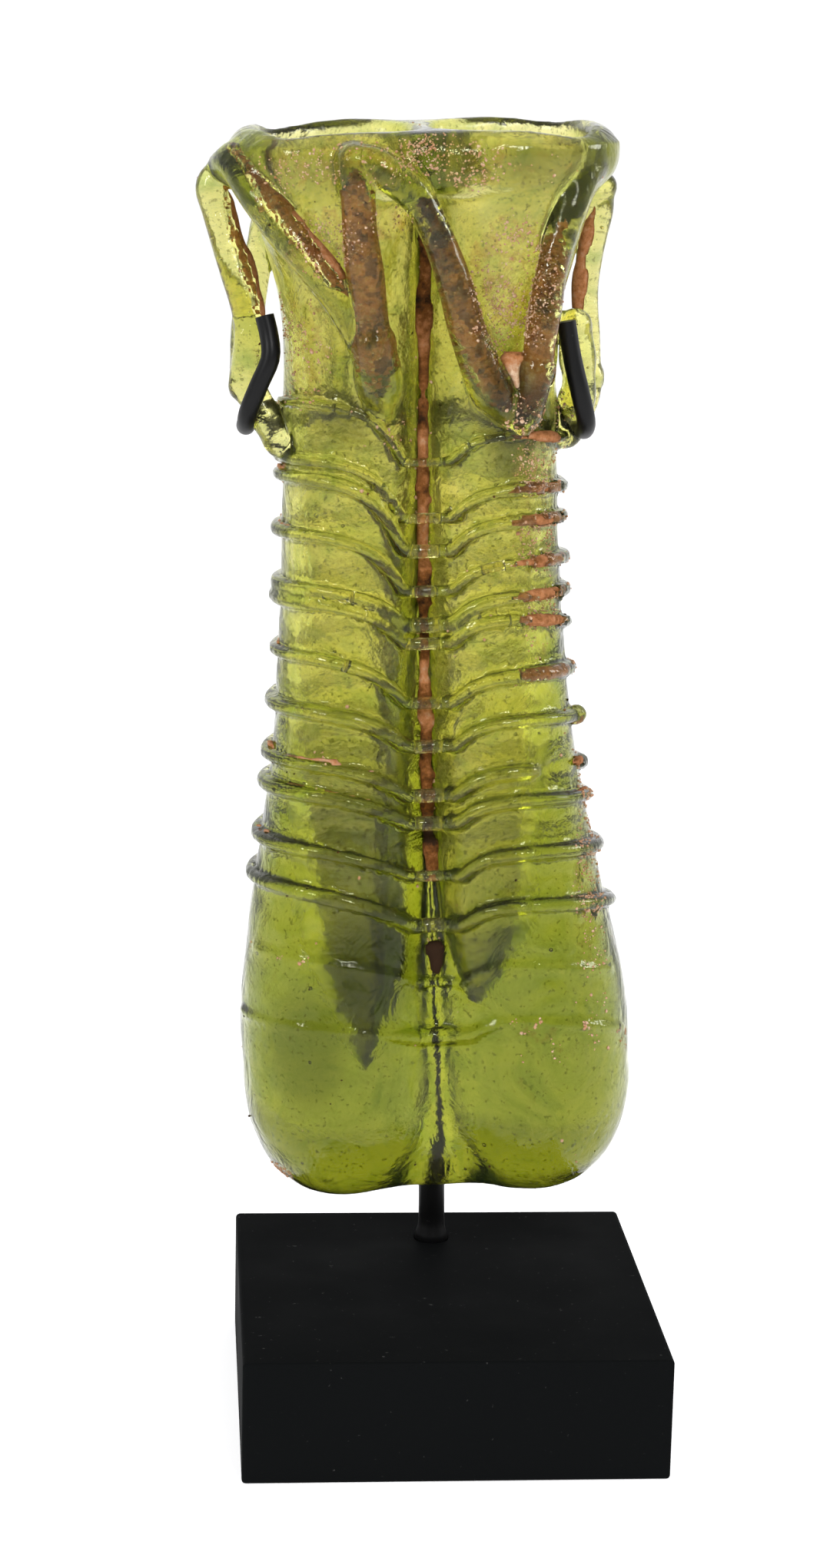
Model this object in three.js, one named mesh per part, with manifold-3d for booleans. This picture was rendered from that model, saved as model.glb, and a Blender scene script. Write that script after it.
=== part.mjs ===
// A late Roman double-tube glass bottle with a spiral thread and an openwork zigzag trail,
// held by a rod with two wire hooks on a square foot. Millimetres, +Z up, the viewer's side is -Y.
// The origin is the centre of the foot's underside.
import * as THREE from "three";
import { mergeVertices } from "three/addons/utils/BufferGeometryUtils.js";
import Module from "manifold-3d";

const wasm = await Module();
wasm.setup();

// Square foot
const footWidth = 48;
const footHeight = 14.2;
const footEdge = 0.4; // small chamfer on the foot's edges

// Rod and hooks, bent from wire
const rodRadius = 1.6;
const rodX = -0.2;
const rodTopX = -3.6; // the rod is bent to lean with the bottle
const rodBend = 3; // it stands upright up to here, over the foot's top
const rodDepthInFoot = 9.7;
const wireRadius = 1.05;
const fitGap = 0.3; // between pieces that touch
const rodClearance = 2.4; // between the rod and the belly
const holeOvercut = 5; // the foot's hole is cut this far past its top
const leftHook = { side: -1, standOff: 3.0, tipLean: 1.8 }; // standOff: clear of the neck's side
const rightHook = { side: 1, standOff: 1.5, tipLean: 2.9 };
const hookReach = 0.8; // how far forward a hook comes, over the neck's half depth
const hookTip = 12; // from the bar to a hook's tip
const hookTipForward = 1.2; // the tip leans this far towards the viewer
const backCorner = { bar: 0.55, across: 2.6, in: 1.0, depth: 4.2 }; // bar: share that runs straight
const frontCorner = { depth: 1.6, lift: 0.4, across: 0.2, height: 2.4 };

// Bottle, measured in its own upright frame from the underside of its two lobes
const bottleHeight = 122.6; // to the top of the rim at the middle of its depth
const bellyHalfWidth = 22.7; // over both tubes
const neckHalfWidth = 15.2;
const flareHalfWidth = 19.8; // over both tubes, just under the rim
const rimHalfWidth = 21.3;
const rimHalfDepth = 12.7;
const rimBand = 6.6; // height of the folded rim
const bellyDepthShare = 0.52; // half depth of a tube over the half width of the pair
const neckDepthShare = 0.555;
const tubeCentreShare = 0.482; // how far each tube's middle is out, over the half width
const rimSlope = 0.062; // the rim is lower at the front than at the back
const lobeCap = 15.5; // height of a lobe's rounded underside
const bottomPower = 2.7; // 2 is a round underside, more is flatter
const bagHalfWidth = 15; // the glass between the two lobes at the belly
const bagHalfDepth = 7.4;
const bagFloor = 0.3; // its underside, above the lobes' lowest points
const bagCap = 0.4; // height of its rounded underside, over the belly's height
const bagNarrowing = 0.55; // how much of its width and depth is gone where it runs out
const bagThinning = 0.75;
const bagLevels = [0.05, 0.16, 0.4, 1, 1.35, 1.7, 2.05, 2.4]; // its sections, over the belly's height

// How the body tapers into the neck and the neck flares under the rim
const bodyFall = 4;
const bodyFallPower = 1.7;
const flareOvershoot = 1.15;
const tubeTopInRim = 0.4; // the tubes end this far below the rim's top, over its height
const rimFoot = 1; // the band starts this far down inside the flare
const rimFootInset = 1.2;
const rimCrown = 0.8; // rounding of the rim's top edge, over half its height

// Bores
const boreNeckRadius = 6.0;
const boreLowRadius = 4.3;
const septum = 2.4; // glass between the two mouths
const rimWall = 3.6;
const leftBore = { side: -1, tip: 15.5, spread: 2.6 }; // spread: how far its foot stands out
const rightBore = { side: 1, tip: 22.5, spread: 1.6 };

// Heights on the bottle, as shares of its height
const bellyLevel = 0.155 * bottleHeight;
const neckLevel = 0.69 * bottleHeight;
const flareLevel = 0.795 * bottleHeight;
const bagTop = 0.44 * bottleHeight; // where the filled bottom has run out into the groove
const trailLevel = 0.772 * bottleHeight; // where the zigzag's lower bends touch the wall
const hookLevel = 0.736 * bottleHeight;
const boreLowLevel = 0.25 * bottleHeight; // where the bores reach their low radius
const boreEnd = 0.09 * bottleHeight; // length of a bore's rounded point

// Where the bottle hangs: it leans a little to the left
const bottleX = -0.2;
const bottleY = 2.5;
const bottleClearance = 11.2; // from the foot's top to the bottle's underside
const lean = 0.0395;
const bow = 1.3; // and its axis bows to the left between its ends

// Spiral thread, wound by hand, so each turn has its own height at the bottle's left side
const threadRadius = 0.85;
const threadProud = 0.6; // its centre line stands this far out of the wall
const threadTurns = [
  0.764, 0.714, 0.697, 0.647, 0.598, 0.586, 0.535, 0.485, 0.436, 0.409, 0.359, 0.322,
  0.257, 0.191,
];
const threadDip = 0.036 * bottleHeight; // the thread sags into the front groove
const threadDipTurns = 22; // the sag would fade out over this many turns
const threadDipPower = 1.5;
const lastTurnDrop = 0.06; // from the last listed turn to the next
const threadRuns = [
  [0.02, 7.47],
  [7.66, 8.38],
  [8.49, 11.6],
  [12.1, 12.32],
  [12.9, 13.28],
]; // the lengths of thread that are still there, in turns

// Openwork zigzag trail
const strandRadius = 1.8;
const tailLength = 2.4 * strandRadius; // a strand's end runs down the wall below its bend
const tailSink = 0.2 * strandRadius;
const knob = { turn: 0.47, raise: 7.5, standOff: 0.4 * strandRadius, radius: 1.15 * strandRadius };

// Facets
const tubeSides = 16;
const tubeSteps = 9;
const capSteps = 4;
const boreSides = 10;
const boreSteps = 13;
const boreStepPower = 1.25; // shorter steps towards the point
const rimSides = 28;
const rimSteps = 5;
const strandSides = 6;
const strandSteps = 5;
const threadSides = 4;
const threadStepsPerTurn = 14;
const knobSides = 10;
const knobRings = 8;
const rodSides = 16;
const rodSteps = 12;
const wireSides = 6;
const hookSteps = 20;

function toSolid(geometry) {
  const bare = geometry.clone();
  bare.deleteAttribute("normal");
  bare.deleteAttribute("uv");
  const merged = mergeVertices(bare, 1e-4);
  const mesh = new wasm.Mesh({
    numProp: 3,
    vertProperties: new Float32Array(merged.attributes.position.array),
    triVerts: new Uint32Array(merged.index.array),
  });
  return new wasm.Manifold(mesh);
}

function toGeometry(solid) {
  const mesh = solid.getMesh();
  const geometry = new THREE.BufferGeometry();
  geometry.setAttribute("position", new THREE.BufferAttribute(mesh.vertProperties, 3));
  geometry.setIndex(new THREE.BufferAttribute(mesh.triVerts, 1));
  geometry.computeVertexNormals();
  return geometry;
}

// Half width over both tubes at a height on the bottle
function halfWidthAt(z) {
  const taper = Math.max(0, (z - bellyLevel) / (neckLevel - bellyLevel));
  const fall = Math.exp(-bodyFall * taper ** bodyFallPower);
  const body = neckHalfWidth + (bellyHalfWidth - neckHalfWidth) * fall;
  const flareTop = bottleHeight - rimBand;
  const flare = Math.max(0, (z - flareLevel) / (flareTop - flareLevel));
  return body + (flareHalfWidth - neckHalfWidth) * Math.min(flare, flareOvershoot) ** 2;
}

function depthShareAt(z) {
  const up = THREE.MathUtils.smoothstep(z, bellyLevel, neckLevel);
  return THREE.MathUtils.lerp(bellyDepthShare, neckDepthShare, up);
}

// One tube's section at a height: how far out its middle is, and its half width and half depth
function tubeAt(z) {
  const whole = halfWidthAt(z);
  const centre = tubeCentreShare * whole;
  let width = whole - centre;
  let depth = depthShareAt(z) * whole;
  if (z < lobeCap) {
    const round = Math.sqrt(Math.max(0, 1 - (1 - z / lobeCap) ** bottomPower));
    width *= round;
    depth *= round;
  }
  return { centre, width, depth };
}

// A turned shape whose round sections become ovals; the profile holds [half width, height]
function ovalTurning(profile, sides, centreAt, stretchAt) {
  const points = profile.map(([radius, height]) => new THREE.Vector2(radius, height));
  const geometry = new THREE.LatheGeometry(points, sides).rotateX(Math.PI / 2);
  const position = geometry.attributes.position;
  for (let i = 0; i < position.count; i++) {
    const z = position.getZ(i);
    position.setX(i, position.getX(i) + centreAt(z));
    position.setY(i, position.getY(i) * stretchAt(z));
  }
  return geometry;
}

function tubeGeometry(side) {
  const top = bottleHeight - rimBand * tubeTopInRim;
  const profile = [[0, 0]];
  for (let i = 1; i <= capSteps; i++) {
    const z = lobeCap * (1 - Math.cos((i / capSteps) * (Math.PI / 2)));
    profile.push([tubeAt(z).width, z]);
  }
  for (let i = 1; i <= tubeSteps; i++) {
    const z = lobeCap + ((top - lobeCap) * i) / tubeSteps;
    profile.push([tubeAt(z).width, z]);
  }
  profile.push([0, top]);
  return ovalTurning(
    profile,
    tubeSides,
    (z) => side * tubeAt(z).centre,
    (z) => (z > 0 ? tubeAt(z).depth / tubeAt(z).width : 1),
  );
}

// The thick folded rim, one oval band over both tubes
function rimGeometry() {
  const low = bottleHeight - rimBand;
  const roll = rimBand / 2;
  const inward = rimHalfWidth - flareHalfWidth;
  const profile = [[0, low - rimFoot]];
  profile.push([flareHalfWidth - rimFootInset, low - rimFoot]);
  for (let i = 0; i <= rimSteps; i++) {
    const turn = -Math.PI / 2 + (Math.PI * i) / rimSteps;
    const reach = turn < 0 ? inward : roll * rimCrown;
    profile.push([rimHalfWidth - reach + reach * Math.cos(turn), low + roll + roll * Math.sin(turn)]);
  }
  profile.push([0, bottleHeight]);
  const geometry = ovalTurning(profile, rimSides, () => 0, () => rimHalfDepth / rimHalfWidth);
  const position = geometry.attributes.position;
  for (let i = 0; i < position.count; i++) {
    position.setZ(i, position.getZ(i) + rimSlope * position.getY(i));
  }
  return geometry;
}

// The two lobes share one thick bottom, which fills the groove between them and runs out above
function bagAt(z) {
  const narrowing = THREE.MathUtils.smoothstep(z, bellyLevel, bagTop);
  const cap = bagCap * bellyLevel;
  const round = z < cap ? Math.sqrt(Math.max(0, 1 - (1 - z / cap) ** bottomPower)) : 1;
  return {
    width: bagHalfWidth * (1 - bagNarrowing * narrowing) * round,
    depth: z < bagTop ? bagHalfDepth * (1 - bagThinning * narrowing) * round : 0,
  };
}

function bagGeometry() {
  const levels = bagLevels.map((share) => share * bellyLevel);
  const profile = [[0, bagFloor], ...levels.map((z) => [bagAt(z).width, z]), [0, levels.at(-1)]];
  const stretch = (z) => {
    const { width, depth } = bagAt(Math.max(z, levels[0]));
    return depth / width;
  };
  return ovalTurning(profile, tubeSides, () => 0, stretch);
}

// A bore narrows from its mouth to the neck, and from there to a point in the thick bottom
function boreAt(z, { tip, spread }) {
  const mouth = THREE.MathUtils.smoothstep(z, flareLevel, bottleHeight);
  const mouthWidth = (rimHalfWidth - rimWall - septum / 2) / 2;
  const mouthDepth = rimHalfDepth - rimWall;
  const down = Math.min(1, Math.max(0, (neckLevel - z) / (neckLevel - boreLowLevel)));
  const plain = THREE.MathUtils.lerp(boreNeckRadius, boreLowRadius, down);
  const end = Math.min(1, Math.max(0, (z - tip) / boreEnd));
  return {
    centre: THREE.MathUtils.lerp(plain + septum / 2 + down * spread, mouthWidth + septum / 2, mouth),
    width: THREE.MathUtils.lerp(plain, mouthWidth, mouth) * Math.sqrt(end),
    depth: THREE.MathUtils.lerp(plain, mouthDepth, mouth) * Math.sqrt(end),
  };
}

function boreGeometry(bore) {
  const top = bottleHeight + rimHalfDepth * rimSlope + 1;
  const profile = [[0, bore.tip]];
  for (let i = 1; i <= boreSteps; i++) {
    const z = bore.tip + (top - bore.tip) * (i / boreSteps) ** boreStepPower;
    profile.push([boreAt(z, bore).width, z]);
  }
  profile.push([0, top]);
  return ovalTurning(
    profile,
    boreSides,
    (z) => bore.side * boreAt(z, bore).centre,
    (z) => (z > bore.tip ? boreAt(z, bore).depth / boreAt(z, bore).width : 1),
  );
}

// A point on the wall. Turns run from the left side (0) over the front groove (0.25) and the right
// side (0.5) to the back groove (0.75), and evenly round each tube between the grooves.
function wallPoint(turn, z, out) {
  const { centre, width, depth } = tubeAt(z);
  const within = turn - Math.floor(turn + 0.25);
  const onRight = within > 0.25;
  const side = onRight ? 1 : -1;
  const groove = Math.PI - Math.acos(Math.min(1, centre / (width + out)));
  const angle = ((onRight ? within - 0.5 : within) / 0.25) * groove;
  const x = side * (centre + (width + out) * Math.cos(angle));
  const y = side * (depth + out) * Math.sin(angle);
  const bag = bagAt(z);
  const bagOut = bag.depth * Math.sqrt(Math.max(0, 1 - (x / bag.width) ** 2)) + out;
  return new THREE.Vector3(x, Math.abs(y) > bagOut ? y : Math.sign(y) * bagOut, z);
}

function threadHeight(turn) {
  const whole = Math.min(Math.floor(turn), threadTurns.length - 1);
  const here = threadTurns[whole];
  const next = threadTurns[whole + 1] ?? here - lastTurnDrop;
  const front = Math.max(0, Math.sin(turn * 2 * Math.PI));
  const height = THREE.MathUtils.lerp(here, next, turn - whole) * bottleHeight;
  return height - threadDip * (1 - turn / threadDipTurns) * front ** threadDipPower;
}

function circle(radius, sides) {
  const shape = new THREE.Shape();
  for (let i = 0; i < sides; i++) {
    const turn = (i / sides) * 2 * Math.PI;
    const x = radius * Math.cos(turn);
    const y = radius * Math.sin(turn);
    if (i === 0) shape.moveTo(x, y);
    else shape.lineTo(x, y);
  }
  shape.closePath();
  return shape;
}

function alongCurve(points, radius, sides, steps) {
  const path = new THREE.CatmullRomCurve3(points, false, "centripetal");
  return new THREE.ExtrudeGeometry(circle(radius, sides), { steps, extrudePath: path });
}

function threadGeometries() {
  return threadRuns.map(([from, to]) => {
    const steps = Math.max(4, Math.round((to - from) * threadStepsPerTurn));
    const points = [];
    for (let i = 0; i <= steps; i++) {
      const turn = from + ((to - from) * i) / steps;
      points.push(wallPoint(turn, threadHeight(turn), threadProud));
    }
    return alongCurve(points, threadRadius, threadSides, steps);
  });
}

// Upper bends of the zigzag, on the rim's edge: direction round the bottle and stand-off
const upperBends = {
  left: [0.015, 1.9],
  front: [0.19, 0],
  right: [0.43, 0],
  back: [0.7, 0],
  backLeft: [0.86, 0],
};

// Lower bends: direction round the bottle, height above or below the trail's level, and stand-off
const lowerBends = {
  left: [0.985, 3.0, 3.5],
  front: [0.155, 0.6, 0.9],
  right: [0.345, -0.4, 0.9],
  side: [0.53, -0.4, 1.6],
  back: [0.78, 1.8, 0.9],
};

// Strands: upper bend, lower bend, how far the strand bows upwards, and how far towards the wall
const strands = [
  ["left", "left", 0, 1.0],
  ["left", "front", 1.6, 0],
  ["front", "front", 0, 0],
  ["front", "right", 3.6, 0],
  ["right", "right", 0, 0],
  ["right", "side", 0, 0],
  ["back", "side", 1.0, 0],
  ["back", "back", 0, 0],
  ["backLeft", "back", 1.0, 0],
  ["backLeft", "left", 0, 0],
];

function rimPoint(turn, out) {
  const cosine = -Math.cos(turn * 2 * Math.PI);
  const sine = -Math.sin(turn * 2 * Math.PI);
  const y = (rimHalfDepth + out) * sine;
  const z = bottleHeight - rimBand * 0.5 + rimSlope * y;
  return new THREE.Vector3((rimHalfWidth + out) * cosine, y, z);
}

function strandGeometry([upper, lower, rise, inward]) {
  const [turn, raise, standOff] = lowerBends[lower];
  const top = rimPoint(...upperBends[upper]);
  const foot = wallPoint(turn, trailLevel + raise, standOff);
  const tail = wallPoint(turn, trailLevel + raise - tailLength, -tailSink);
  const points = [top];
  for (const share of [0.25, 0.5, 0.75]) {
    const point = top.clone().lerp(foot, share);
    const middle = Math.sin(share * Math.PI);
    point.x -= Math.sign(point.x) * inward * middle;
    point.z += rise * middle;
    points.push(point);
  }
  points.push(foot, tail);
  return alongCurve(points, strandRadius, strandSides, strandSteps);
}

// The rounded end of the zigzag trail, on the right wall
function knobGeometry() {
  const ball = new THREE.SphereGeometry(knob.radius, knobSides, knobRings);
  const place = wallPoint(knob.turn, trailLevel + knob.raise, knob.standOff);
  return ball.translate(place.x, place.y, place.z);
}

function bowAt(z) {
  return bow * Math.sin(Math.PI * THREE.MathUtils.clamp(z / bottleHeight, 0, 1));
}

function makeBottle() {
  let glass = toSolid(tubeGeometry(-1)).add(toSolid(tubeGeometry(1)));
  glass = glass.add(toSolid(rimGeometry())).add(toSolid(bagGeometry()));
  const additions = [...threadGeometries(), ...strands.map(strandGeometry), knobGeometry()];
  for (const geometry of additions) {
    glass = glass.add(toSolid(geometry));
  }
  glass = glass.subtract(toSolid(boreGeometry(leftBore)));
  glass = glass.subtract(toSolid(boreGeometry(rightBore)));
  const material = new THREE.MeshStandardMaterial({ color: 0x9aa654, roughness: 0.12, metalness: 0 });
  material.transparent = true;
  material.opacity = 0.6;
  const geometry = toGeometry(glass);
  const position = geometry.attributes.position;
  for (let i = 0; i < position.count; i++) {
    position.setX(i, position.getX(i) - bowAt(position.getZ(i)));
  }
  const bottle = new THREE.Mesh(geometry, material);
  bottle.name = "glass_bottle";
  return bottle;
}

function axisX(z) {
  return bottleX - lean * z - bowAt(z);
}

// The rod stands behind the belly, clear of both lobes and of the glass between them
function rodY() {
  const { centre, width, depth } = tubeAt(bellyLevel);
  const off = Math.abs(rodX - axisX(bellyLevel)) + rodRadius;
  const lobe = depth * Math.sqrt(Math.max(0, 1 - ((centre - off) / width) ** 2));
  return bottleY + Math.max(lobe, bagHalfDepth) + rodClearance + rodRadius;
}

const bottleZ = footHeight + bottleClearance;
const hookZ = bottleZ + hookLevel;

// A hook runs from the rod round the neck under the trail's bend and turns up in front
function hookGeometry({ side, standOff, tipLean }) {
  const outX = axisX(hookLevel) + side * (halfWidthAt(hookLevel) + standOff + wireRadius);
  const tipX = outX - side * tipLean;
  const back = rodY();
  const front = bottleY - hookReach * tubeAt(hookLevel).depth;
  const tipY = front - hookTipForward;
  const points = [
    new THREE.Vector3(rodTopX, back, hookZ),
    new THREE.Vector3(THREE.MathUtils.lerp(rodTopX, outX, backCorner.bar), back, hookZ),
    new THREE.Vector3(outX - side * backCorner.across, back - backCorner.in, hookZ),
    new THREE.Vector3(outX, back - backCorner.depth, hookZ),
    new THREE.Vector3(outX, bottleY, hookZ),
    new THREE.Vector3(outX, front + frontCorner.depth, hookZ + frontCorner.lift),
    new THREE.Vector3(outX - side * frontCorner.across, front, hookZ + frontCorner.height),
    new THREE.Vector3(tipX, THREE.MathUtils.lerp(front, tipY, 2 / 3), hookZ + (hookTip * 7) / 12),
    new THREE.Vector3(tipX, tipY, hookZ + hookTip),
  ];
  return alongCurve(points, wireRadius, wireSides, hookSteps);
}

function rodGeometry() {
  const back = rodY();
  const points = [
    new THREE.Vector3(rodX, back, footHeight - rodDepthInFoot),
    new THREE.Vector3(rodX, back, footHeight + rodBend),
    new THREE.Vector3(rodTopX, back, hookZ + wireRadius),
  ];
  return alongCurve(points, rodRadius, rodSides, rodSteps);
}

function makePost() {
  let post = toSolid(rodGeometry());
  post = post.add(toSolid(hookGeometry(leftHook)));
  post = post.add(toSolid(hookGeometry(rightHook)));
  const material = new THREE.MeshStandardMaterial({ color: 0x26282a, roughness: 0.4, metalness: 0.2 });
  const mesh = new THREE.Mesh(toGeometry(post), material);
  mesh.name = "stand_post";
  return mesh;
}

function makeFoot() {
  const half = footWidth / 2 - footEdge;
  const outline = new THREE.Shape();
  outline.moveTo(-half, -half);
  outline.lineTo(half, -half);
  outline.lineTo(half, half);
  outline.lineTo(-half, half);
  outline.closePath();
  const block = new THREE.ExtrudeGeometry(outline, {
    depth: footHeight - 2 * footEdge,
    bevelThickness: footEdge,
    bevelSize: footEdge,
    bevelSegments: 1,
  });
  block.translate(0, 0, footEdge);
  const holeFloor = footHeight - rodDepthInFoot - fitGap;
  const holeLength = rodDepthInFoot + fitGap + holeOvercut;
  const holeRadius = rodRadius + fitGap;
  const hole = new THREE.CylinderGeometry(holeRadius, holeRadius, holeLength, rodSides);
  hole.rotateX(Math.PI / 2).translate(rodX, rodY(), holeFloor + holeLength / 2);
  const solid = toSolid(block).subtract(toSolid(hole));
  const material = new THREE.MeshStandardMaterial({ color: 0x111212, roughness: 0.35, metalness: 0 });
  const mesh = new THREE.Mesh(toGeometry(solid), material);
  mesh.name = "stand_base";
  return mesh;
}

const hanging = new THREE.Group();
hanging.position.set(bottleX, bottleY, bottleZ);
hanging.rotation.y = -lean;
hanging.add(makeBottle());

const whole = new THREE.Group();
whole.add(makeFoot(), makePost(), hanging);

export default whole;
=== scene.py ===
# %% [markdown]
# # A double-tube glass bottle on its display stand
#
# The bottle is late Roman. Two blown tubes stand side by side and share one folded rim. A thread is
# wound round them by hand, and a thicker trail zigzags from the rim to the neck. A black rod with two
# hooks holds it over a square foot. This lesson makes the glass as one melted body, then the soil that
# has stayed on it, then the stand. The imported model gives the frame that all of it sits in.

import math

import bmesh
import bpy
import numpy as np
from mathutils import Matrix, Vector


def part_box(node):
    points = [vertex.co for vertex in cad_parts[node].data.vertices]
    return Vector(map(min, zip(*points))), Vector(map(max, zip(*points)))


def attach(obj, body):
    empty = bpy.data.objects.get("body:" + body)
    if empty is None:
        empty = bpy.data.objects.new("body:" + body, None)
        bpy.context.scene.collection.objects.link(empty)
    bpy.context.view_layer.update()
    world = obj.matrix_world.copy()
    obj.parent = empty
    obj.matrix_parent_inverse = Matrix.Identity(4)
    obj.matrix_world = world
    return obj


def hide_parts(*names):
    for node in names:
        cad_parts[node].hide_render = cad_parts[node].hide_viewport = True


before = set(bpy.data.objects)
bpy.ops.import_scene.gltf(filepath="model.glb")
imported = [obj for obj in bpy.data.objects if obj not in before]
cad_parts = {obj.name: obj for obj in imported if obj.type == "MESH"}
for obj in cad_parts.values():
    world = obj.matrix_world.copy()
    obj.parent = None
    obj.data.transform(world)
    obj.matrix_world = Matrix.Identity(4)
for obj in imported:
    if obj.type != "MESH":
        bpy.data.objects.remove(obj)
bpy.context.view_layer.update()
foot_low, foot_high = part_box("stand_base")
post_low, post_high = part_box("stand_post")
MM = 0.001
foot_top = foot_high[2] / MM
print("post's box, mm:", [round(v / MM, 1) for v in (*post_low, *post_high)])

# %% [markdown]
# ## Camera
#
# The camera looks down by about twelve degrees, a little from the left of the bottle. Its place and
# turn were solved from the four corners of the square foot. The frame is taken as 1080 by 2041, and
# the lens follows from the focal length in pixels along the longer side.

# %% Camera
EYE = Vector((-31.0, -341.6, 148.6)) * MM
YAW, PITCH, ROLL = 0.0772, 0.2132, 0.0221
FOCAL_PIXELS = 4008.2
FRAME_HEIGHT = 2041
SENSOR = 36.0

forward = Vector((math.sin(YAW) * math.cos(PITCH), math.cos(YAW) * math.cos(PITCH), -math.sin(PITCH)))
level_right = Vector((math.cos(YAW), -math.sin(YAW), 0))
level_up = level_right.cross(forward)
camera_right = math.cos(ROLL) * level_right + math.sin(ROLL) * level_up
camera_up = -math.sin(ROLL) * level_right + math.cos(ROLL) * level_up
camera_data = bpy.data.cameras.new("camera")
camera_data.sensor_fit = "VERTICAL"
camera_data.sensor_height = SENSOR
camera_data.lens = FOCAL_PIXELS / FRAME_HEIGHT * SENSOR
camera = bpy.data.objects.new("camera", camera_data)
turned = Matrix((camera_right, camera_up, -forward)).transposed()
camera.matrix_world = Matrix.Translation(EYE) @ turned.to_4x4()
bpy.context.collection.objects.link(camera)
bpy.context.scene.camera = camera
print("lens, mm:", round(camera_data.lens, 1))

# %% [markdown]
# ## Nodes in one call
#
# A world, a material and a Geometry Nodes tree are all nodes joined by links. They could be laid out by
# hand in the editor. Making them in Python gives the same look each run and can be read as text. These
# helpers keep a step to one line: an input takes a plain value, or what another node puts out.

# %% Node helpers
def node(tree, kind, *values, **settings):
    """A new node. Values go to its inputs in order, and names with a capital to the input of that name,
    with _ for a space. Other names are its options. What another node puts out is linked."""
    made = tree.nodes.new(kind)
    wanted = dict(enumerate(values))
    for name, value in settings.items():
        if name.islower():
            setattr(made, name, value)
        else:
            wanted[name.replace("_", " ")] = value
    for key, value in wanted.items():
        if isinstance(value, bpy.types.NodeSocket):
            tree.links.new(value, made.inputs[key])
        else:
            made.inputs[key].default_value = value
    return made


def calculate(tree, operation, *values):
    return node(tree, "ShaderNodeMath", *values, operation=operation).outputs[0]


def ranged(tree, value, low, high, to_low=0, to_high=1, **options):
    """Stretches the range from low to high on to another range, and cuts off what is outside."""
    return node(tree, "ShaderNodeMapRange", value, low, high, to_low, to_high, **options).outputs[0]


def noise(tree, where, scale, detail, roughness=0.5, distortion=0):
    made = node(tree, "ShaderNodeTexNoise", Vector=where, Scale=scale, Detail=detail, Roughness=roughness,
                Distortion=distortion)
    return made.outputs["Fac"]


def blend(tree, share, first, second):
    """A mix of two colours."""
    made = node(tree, "ShaderNodeMix", data_type="RGBA", Factor=share, A=first, B=second)
    return made.outputs["Result"]


def new_material(name):
    material = bpy.data.materials.new(name)
    material.use_nodes = True
    material.node_tree.nodes.clear()
    return material, material.node_tree


# %% [markdown]
# ## Light
#
# Glass shows what stands around it more than it shows its own surface. Here it is lit as in a small
# studio: a surround that is brightest behind the bottle, greyer at the sides and darkest behind the
# viewer, which draws the darker edges. An image of a real room would put its own shapes into the glass,
# so the surround is a plain ramp of greys. Rays from the camera see flat white, as in a cut-out photo.

# %% Surround
SURROUND = {"front": 0.42, "side": 0.8, "behind": 1.04, "top": 0.7}
BEHIND_FROM = 0.82  # the ramp is brightest here
OVERHEAD_FROM, OVERHEAD_TO = 0.45, 0.9  # height of a ray where the surround turns into the ceiling
BACKDROP_STRENGTH = 1.05

world = bpy.data.worlds.new("studio")
world.use_nodes = True
bpy.context.scene.world = world
tree = world.node_tree
tree.nodes.clear()
place = node(tree, "ShaderNodeTexCoord")
split = node(tree, "ShaderNodeSeparateXYZ", place.outputs["Generated"])
depth_ramp = node(tree, "ShaderNodeValToRGB", ranged(tree, split.outputs["Y"], -1, 1))
ramp = depth_ramp.color_ramp
ramp.interpolation = "EASE"
ramp.elements[1].position = 1.0
stops = [(0.0, SURROUND["front"]), (0.5, SURROUND["side"]), (BEHIND_FROM, SURROUND["behind"])]
for spot, level in stops:
    element = ramp.elements.new(spot)
    element.color = (level, level, level, 1)
ramp.elements.remove(ramp.elements[0])
height = ranged(tree, split.outputs["Z"], OVERHEAD_FROM, OVERHEAD_TO, interpolation_type="SMOOTHSTEP")
overhead = blend(tree, height, depth_ramp.outputs[0], (SURROUND["top"],) * 3 + (1,))
surround = node(tree, "ShaderNodeBackground", Color=overhead)
backdrop = node(tree, "ShaderNodeBackground", Color=(1, 1, 1, 1), Strength=BACKDROP_STRENGTH)
rays = node(tree, "ShaderNodeLightPath")
choice = node(tree, "ShaderNodeMixShader", rays.outputs["Is Camera Ray"], surround.outputs[0],
              backdrop.outputs[0])
node(tree, "ShaderNodeOutputWorld", Surface=choice.outputs[0])
print("surround:", SURROUND)

# %% [markdown]
# The highlights on rim and threads come from soft lights. A point of light would give hard white dots,
# and a large panel a broad glare, so these are small panels: two in front and one at the right side.

# %% Soft lights
LAMP_TARGET = Vector((0, 0, 0.09))  # the neck, in metres
LAMPS = {  # azimuth and elevation in degrees, distance, width and height in metres, power in watts
    "left_light": (-48, 26, 0.9, 0.16, 0.22, 4.2),
    "right_light": (14, 30, 0.9, 0.14, 0.18, 3.4),
    "side_light": (94, 22, 0.9, 0.2, 0.3, 2.6),
}


def softbox(name, azimuth, elevation, distance, width, height, power):
    """A soft light aimed at the neck; azimuth 0 is the viewer's side, and it grows to the right."""
    data = bpy.data.lights.new(name, "AREA")
    data.shape = "RECTANGLE"
    data.size, data.size_y = width, height
    data.energy = power
    lamp = bpy.data.objects.new(name, data)
    turn, rise = math.radians(azimuth), math.radians(elevation)
    reach = Vector((math.sin(turn) * math.cos(rise), -math.cos(turn) * math.cos(rise), math.sin(rise)))
    lamp.location = LAMP_TARGET + reach * distance
    lamp.rotation_euler = (-reach).to_track_quat("-Z", "Y").to_euler()
    bpy.context.collection.objects.link(lamp)


for name, values in LAMPS.items():
    softbox(name, *values)
print("soft lights:", len(LAMPS))

# %% [markdown]
# The foot stands on white paper that runs out of the frame. A plain diffuse floor would come out grey
# beside the white backdrop, so it also gives off a little light of its own.

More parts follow.
